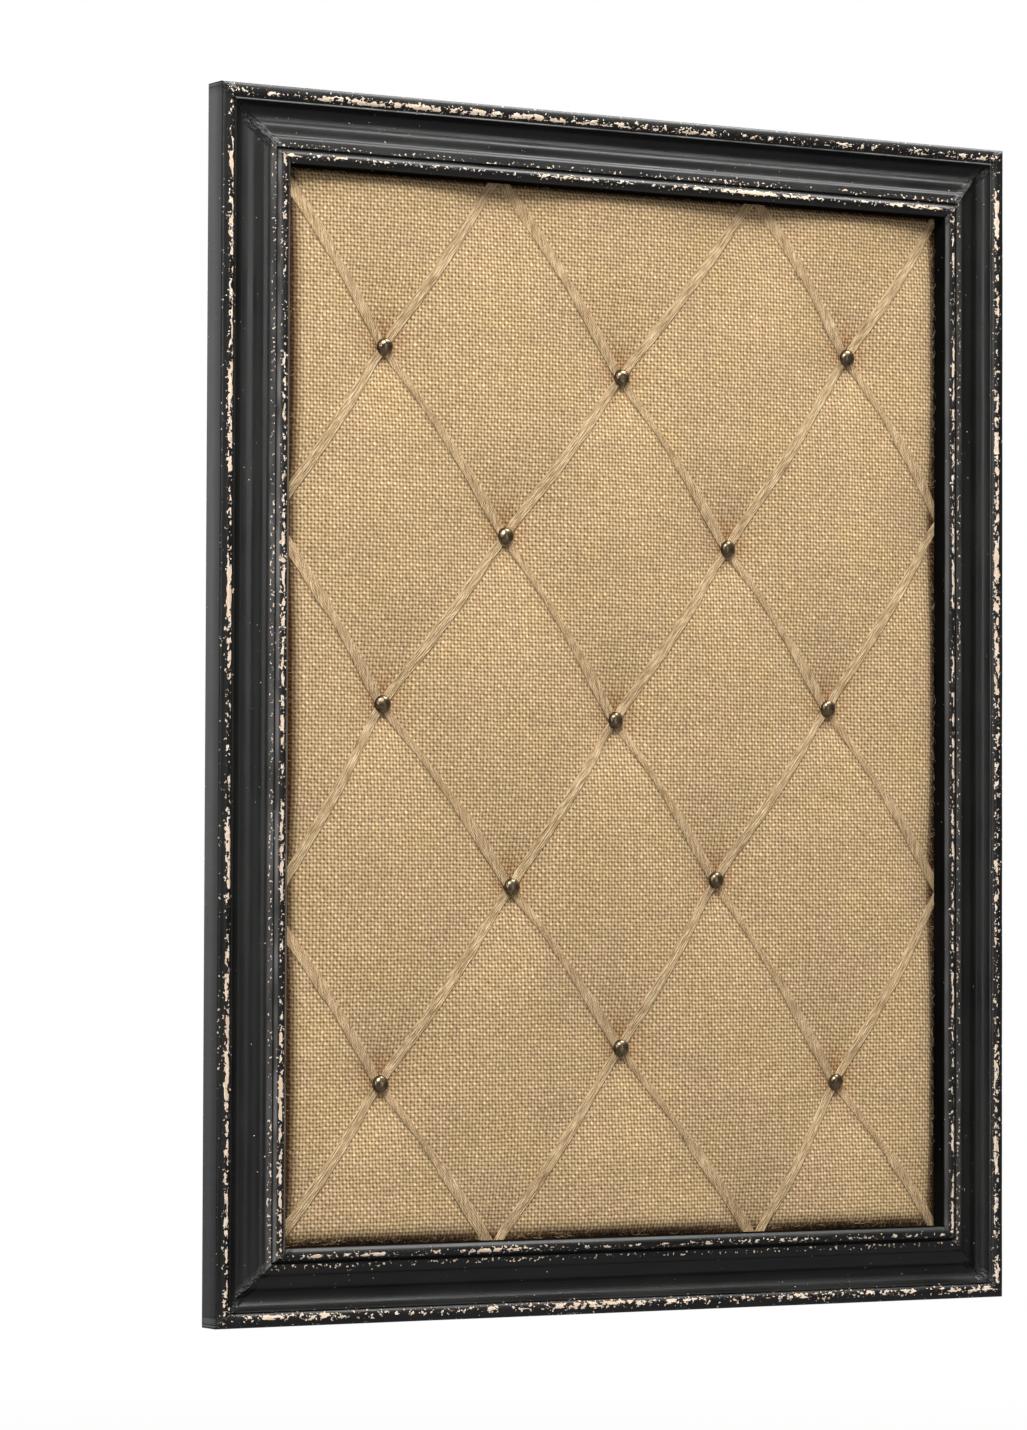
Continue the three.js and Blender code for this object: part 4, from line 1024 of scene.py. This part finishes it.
class DressHardware(bpy.types.Operator):
    """Build the hanger rings and finish the board's back and metal parts"""
    bl_idname = "board.dress_hardware"
    bl_label = "Hangers, nails and back"

    def execute(self, context):
        zinc = zinc_plate()
        for hand in ("left", "right"):
            points, faces = ring_shape(f"hanger_ring_{hand}")
            make_piece(f"wire_ring_{hand}", points, faces, zinc, [f"hanger_ring_{hand}"],
                       body=f"ring_{hand}")
        steel = ("corner_nail", "framer_point", "hanger_strap", "hanger_screw")
        dress([name for name in NODES if name.startswith(steel)], zinc)
        dress(["backing_board"], screen_back_hardboard())
        return {"FINISHED"}


class BuildStage(bpy.types.Operator):
    """Set the floor, the lights, the white surroundings and the camera"""
    bl_idname = "board.build_stage"
    bl_label = "Floor, light and camera"

    def execute(self, context):
        settings = context.scene.board_stage
        make_floor(float(LOW[2]) - settings.floor_drop)
        make_world(context.scene)
        # Name, place, width, height and power; each faces the board's middle
        lamps = [("key light", (-1.05, -1.85, 1.8), 1.4, 1.1, settings.key_power),
                 ("fill light", (0.8, -0.32, 1.22), 1.1, 0.7, settings.fill_power),
                 ("front strip", (0.42, -2.15, -0.3), 0.4, 1.6, 3.0),
                 ("glint light", (-1.36, -1.32, 0.1), 0.3, 0.3, 3.0),
                 ("back light", (0.4, 1.7, 1.0), 1.6, 1.2, 18.0)]
        for name, place, width, height, power in lamps:
            light = bpy.data.lights.new(name, "AREA")
            light.shape, light.size, light.size_y, light.energy = "RECTANGLE", width, height, power
            lamp = bpy.data.objects.new(name, light)
            aim = np.array(place) - RAISED
            lamp.matrix_world = aimed(place, aim / np.linalg.norm(aim))
            context.scene.collection.objects.link(lamp)
        make_camera(context.scene)
        context.scene.view_settings.view_transform = "Standard"
        return {"FINISHED"}


def aimed(place, back, roll=0.0):
    """Matrix of a camera or lamp at a place, looking along minus back, rolled about that line."""
    right = np.cross(-back, (0, 0, 1))
    right /= np.linalg.norm(right)
    up = np.cross(right, -back)
    turned_right = math.cos(roll) * right + math.sin(roll) * up
    turned_up = math.cos(roll) * up - math.sin(roll) * right
    return Matrix(join(turned_right, turned_up, back, place).tolist() + [[0, 0, 0, 1]])


def make_floor(level):
    """Plain pale floor that shows near white to the camera and keeps soft shadows."""
    material, add = new_material("white_painted_floor")
    nodes = material.node_tree.nodes
    nodes.remove(nodes["Principled BSDF"])
    seen = add("LightPath").outputs["Is Camera Ray"]
    matt = add("BsdfDiffuse", add("Mix.RGBA", seen, "#77777a", "#f4f4f2"))
    # Towards the horizon the floor turns to the white of its surroundings
    far = add("VectorMath.LENGTH", add("TexCoord").outputs["Object"])
    share = add("*", seen, add("MapRange", far, 0.9, 3.0, 0.66, 1.0))
    bright = add("Emission", "#ffffff", 1.0)
    feed(nodes["Material Output"].inputs["Surface"], add("MixShader", share, matt, bright))
    reach = 9.0
    corners = [(x, y, level) for x, y in ((-reach, -reach), (reach, -reach), (reach, reach), (-reach, reach))]
    floor = make_object("floor", corners, [(0, 1, 2, 3)])
    floor.data.materials.append(material)


def make_world(scene):
    """White surroundings behind the board, and a dimmer studio on the side that it faces."""
    world = bpy.data.worlds.new("studio")
    world.use_nodes = True
    add = partial(add_node, world.node_tree)
    across, back, up = add("SeparateXYZ", add("TexCoord").outputs["Generated"]).outputs
    behind = add("MapRange", back, 0.05, 0.62, 0.13, 1.55)
    overhead = add("MapRange", up, 0.42, 0.72, 0.13, 0.65)
    # A tall narrow soft box 57 degrees round to the left, seen only in reflections
    beside = add("Math.ABSOLUTE", add("+", across, 0.84))
    beside = add("MapRange", beside, 0.02, 0.045, 6.0, 0.0)
    beside = add("*", beside, add("Math.LESS_THAN", back, 0.0))
    studio = add("Math.MAXIMUM", add("Math.MAXIMUM", behind, overhead), beside)
    dim, fill, white = (add("Background", "#ffffff", strength) for strength in (studio, 0.38, 1.0))
    path = add("LightPath").outputs
    mirrored = add("MixShader", path["Is Glossy Ray"], fill, dim)
    seen = add("Math.MAXIMUM", path["Is Camera Ray"], path["Is Transmission Ray"])
    feed(world.node_tree.nodes["World Output"].inputs["Surface"], add("MixShader", seen, mirrored, white))
    scene.world = world


def make_camera(scene):
    """Camera at the photograph's place: 31 degrees round to the left, a little below the board's middle."""
    place = (-1.656438, -2.657577, -0.425966)
    azimuth, elevation, roll = (math.radians(a) for a in (-30.958, -1.945, 0.206))
    back = np.array([math.sin(azimuth) * math.cos(elevation), -math.cos(azimuth) * math.cos(elevation),
                     math.sin(elevation)])
    sensor, focal_pixels, picture_pixels = 36.0, 5470.613, 1430
    data = bpy.data.cameras.new("camera")
    data.sensor_fit, data.sensor_width = "AUTO", sensor
    data.lens = focal_pixels * sensor / picture_pixels
    data.clip_start, data.clip_end = 0.05, 60
    camera = bpy.data.objects.new("camera", data)
    camera.matrix_world = aimed(place, back, roll)
    scene.collection.objects.link(camera)
    scene.camera = camera


class BoardPanel(bpy.types.Panel):
    """Lists the board's builders"""
    bl_idname = "BOARD_PT_builders"
    bl_label = "Bulletin Board"
    bl_space_type = "VIEW_3D"
    bl_region_type = "UI"
    bl_category = "Board"

    def draw(self, context):
        for operator in OPERATORS:
            self.layout.operator(operator.bl_idname)
        for name, group in GROUPS.items():
            box = self.layout.box()
            for key in group.__annotations__:
                box.prop(getattr(context.scene, name), key)


OPERATORS = [BuildRails, BuildCloth, BuildTapes, BuildTacks, BuildHairs, DressHardware, BuildStage]
GROUPS = {"board_paint": MouldingSizes, "board_cloth": ClothSizes, "board_tapes": TapeSizes,
          "board_tacks": TackSizes, "board_stage": StageSettings}


def register():
    for kind in [*GROUPS.values(), *OPERATORS, BoardPanel]:
        bpy.utils.register_class(kind)
    for name, group in GROUPS.items():
        setattr(bpy.types.Scene, name, bpy.props.PointerProperty(type=group))


def unregister():
    for name in GROUPS:
        delattr(bpy.types.Scene, name)
    for kind in [BoardPanel, *OPERATORS[::-1], *list(GROUPS.values())[::-1]]:
        bpy.utils.unregister_class(kind)


def main():
    """Registers the add-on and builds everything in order."""
    register()
    for operator in OPERATORS:
        group, name = operator.bl_idname.split(".")
        getattr(getattr(bpy.ops, group), name)()


if __name__ == "__main__":
    main()
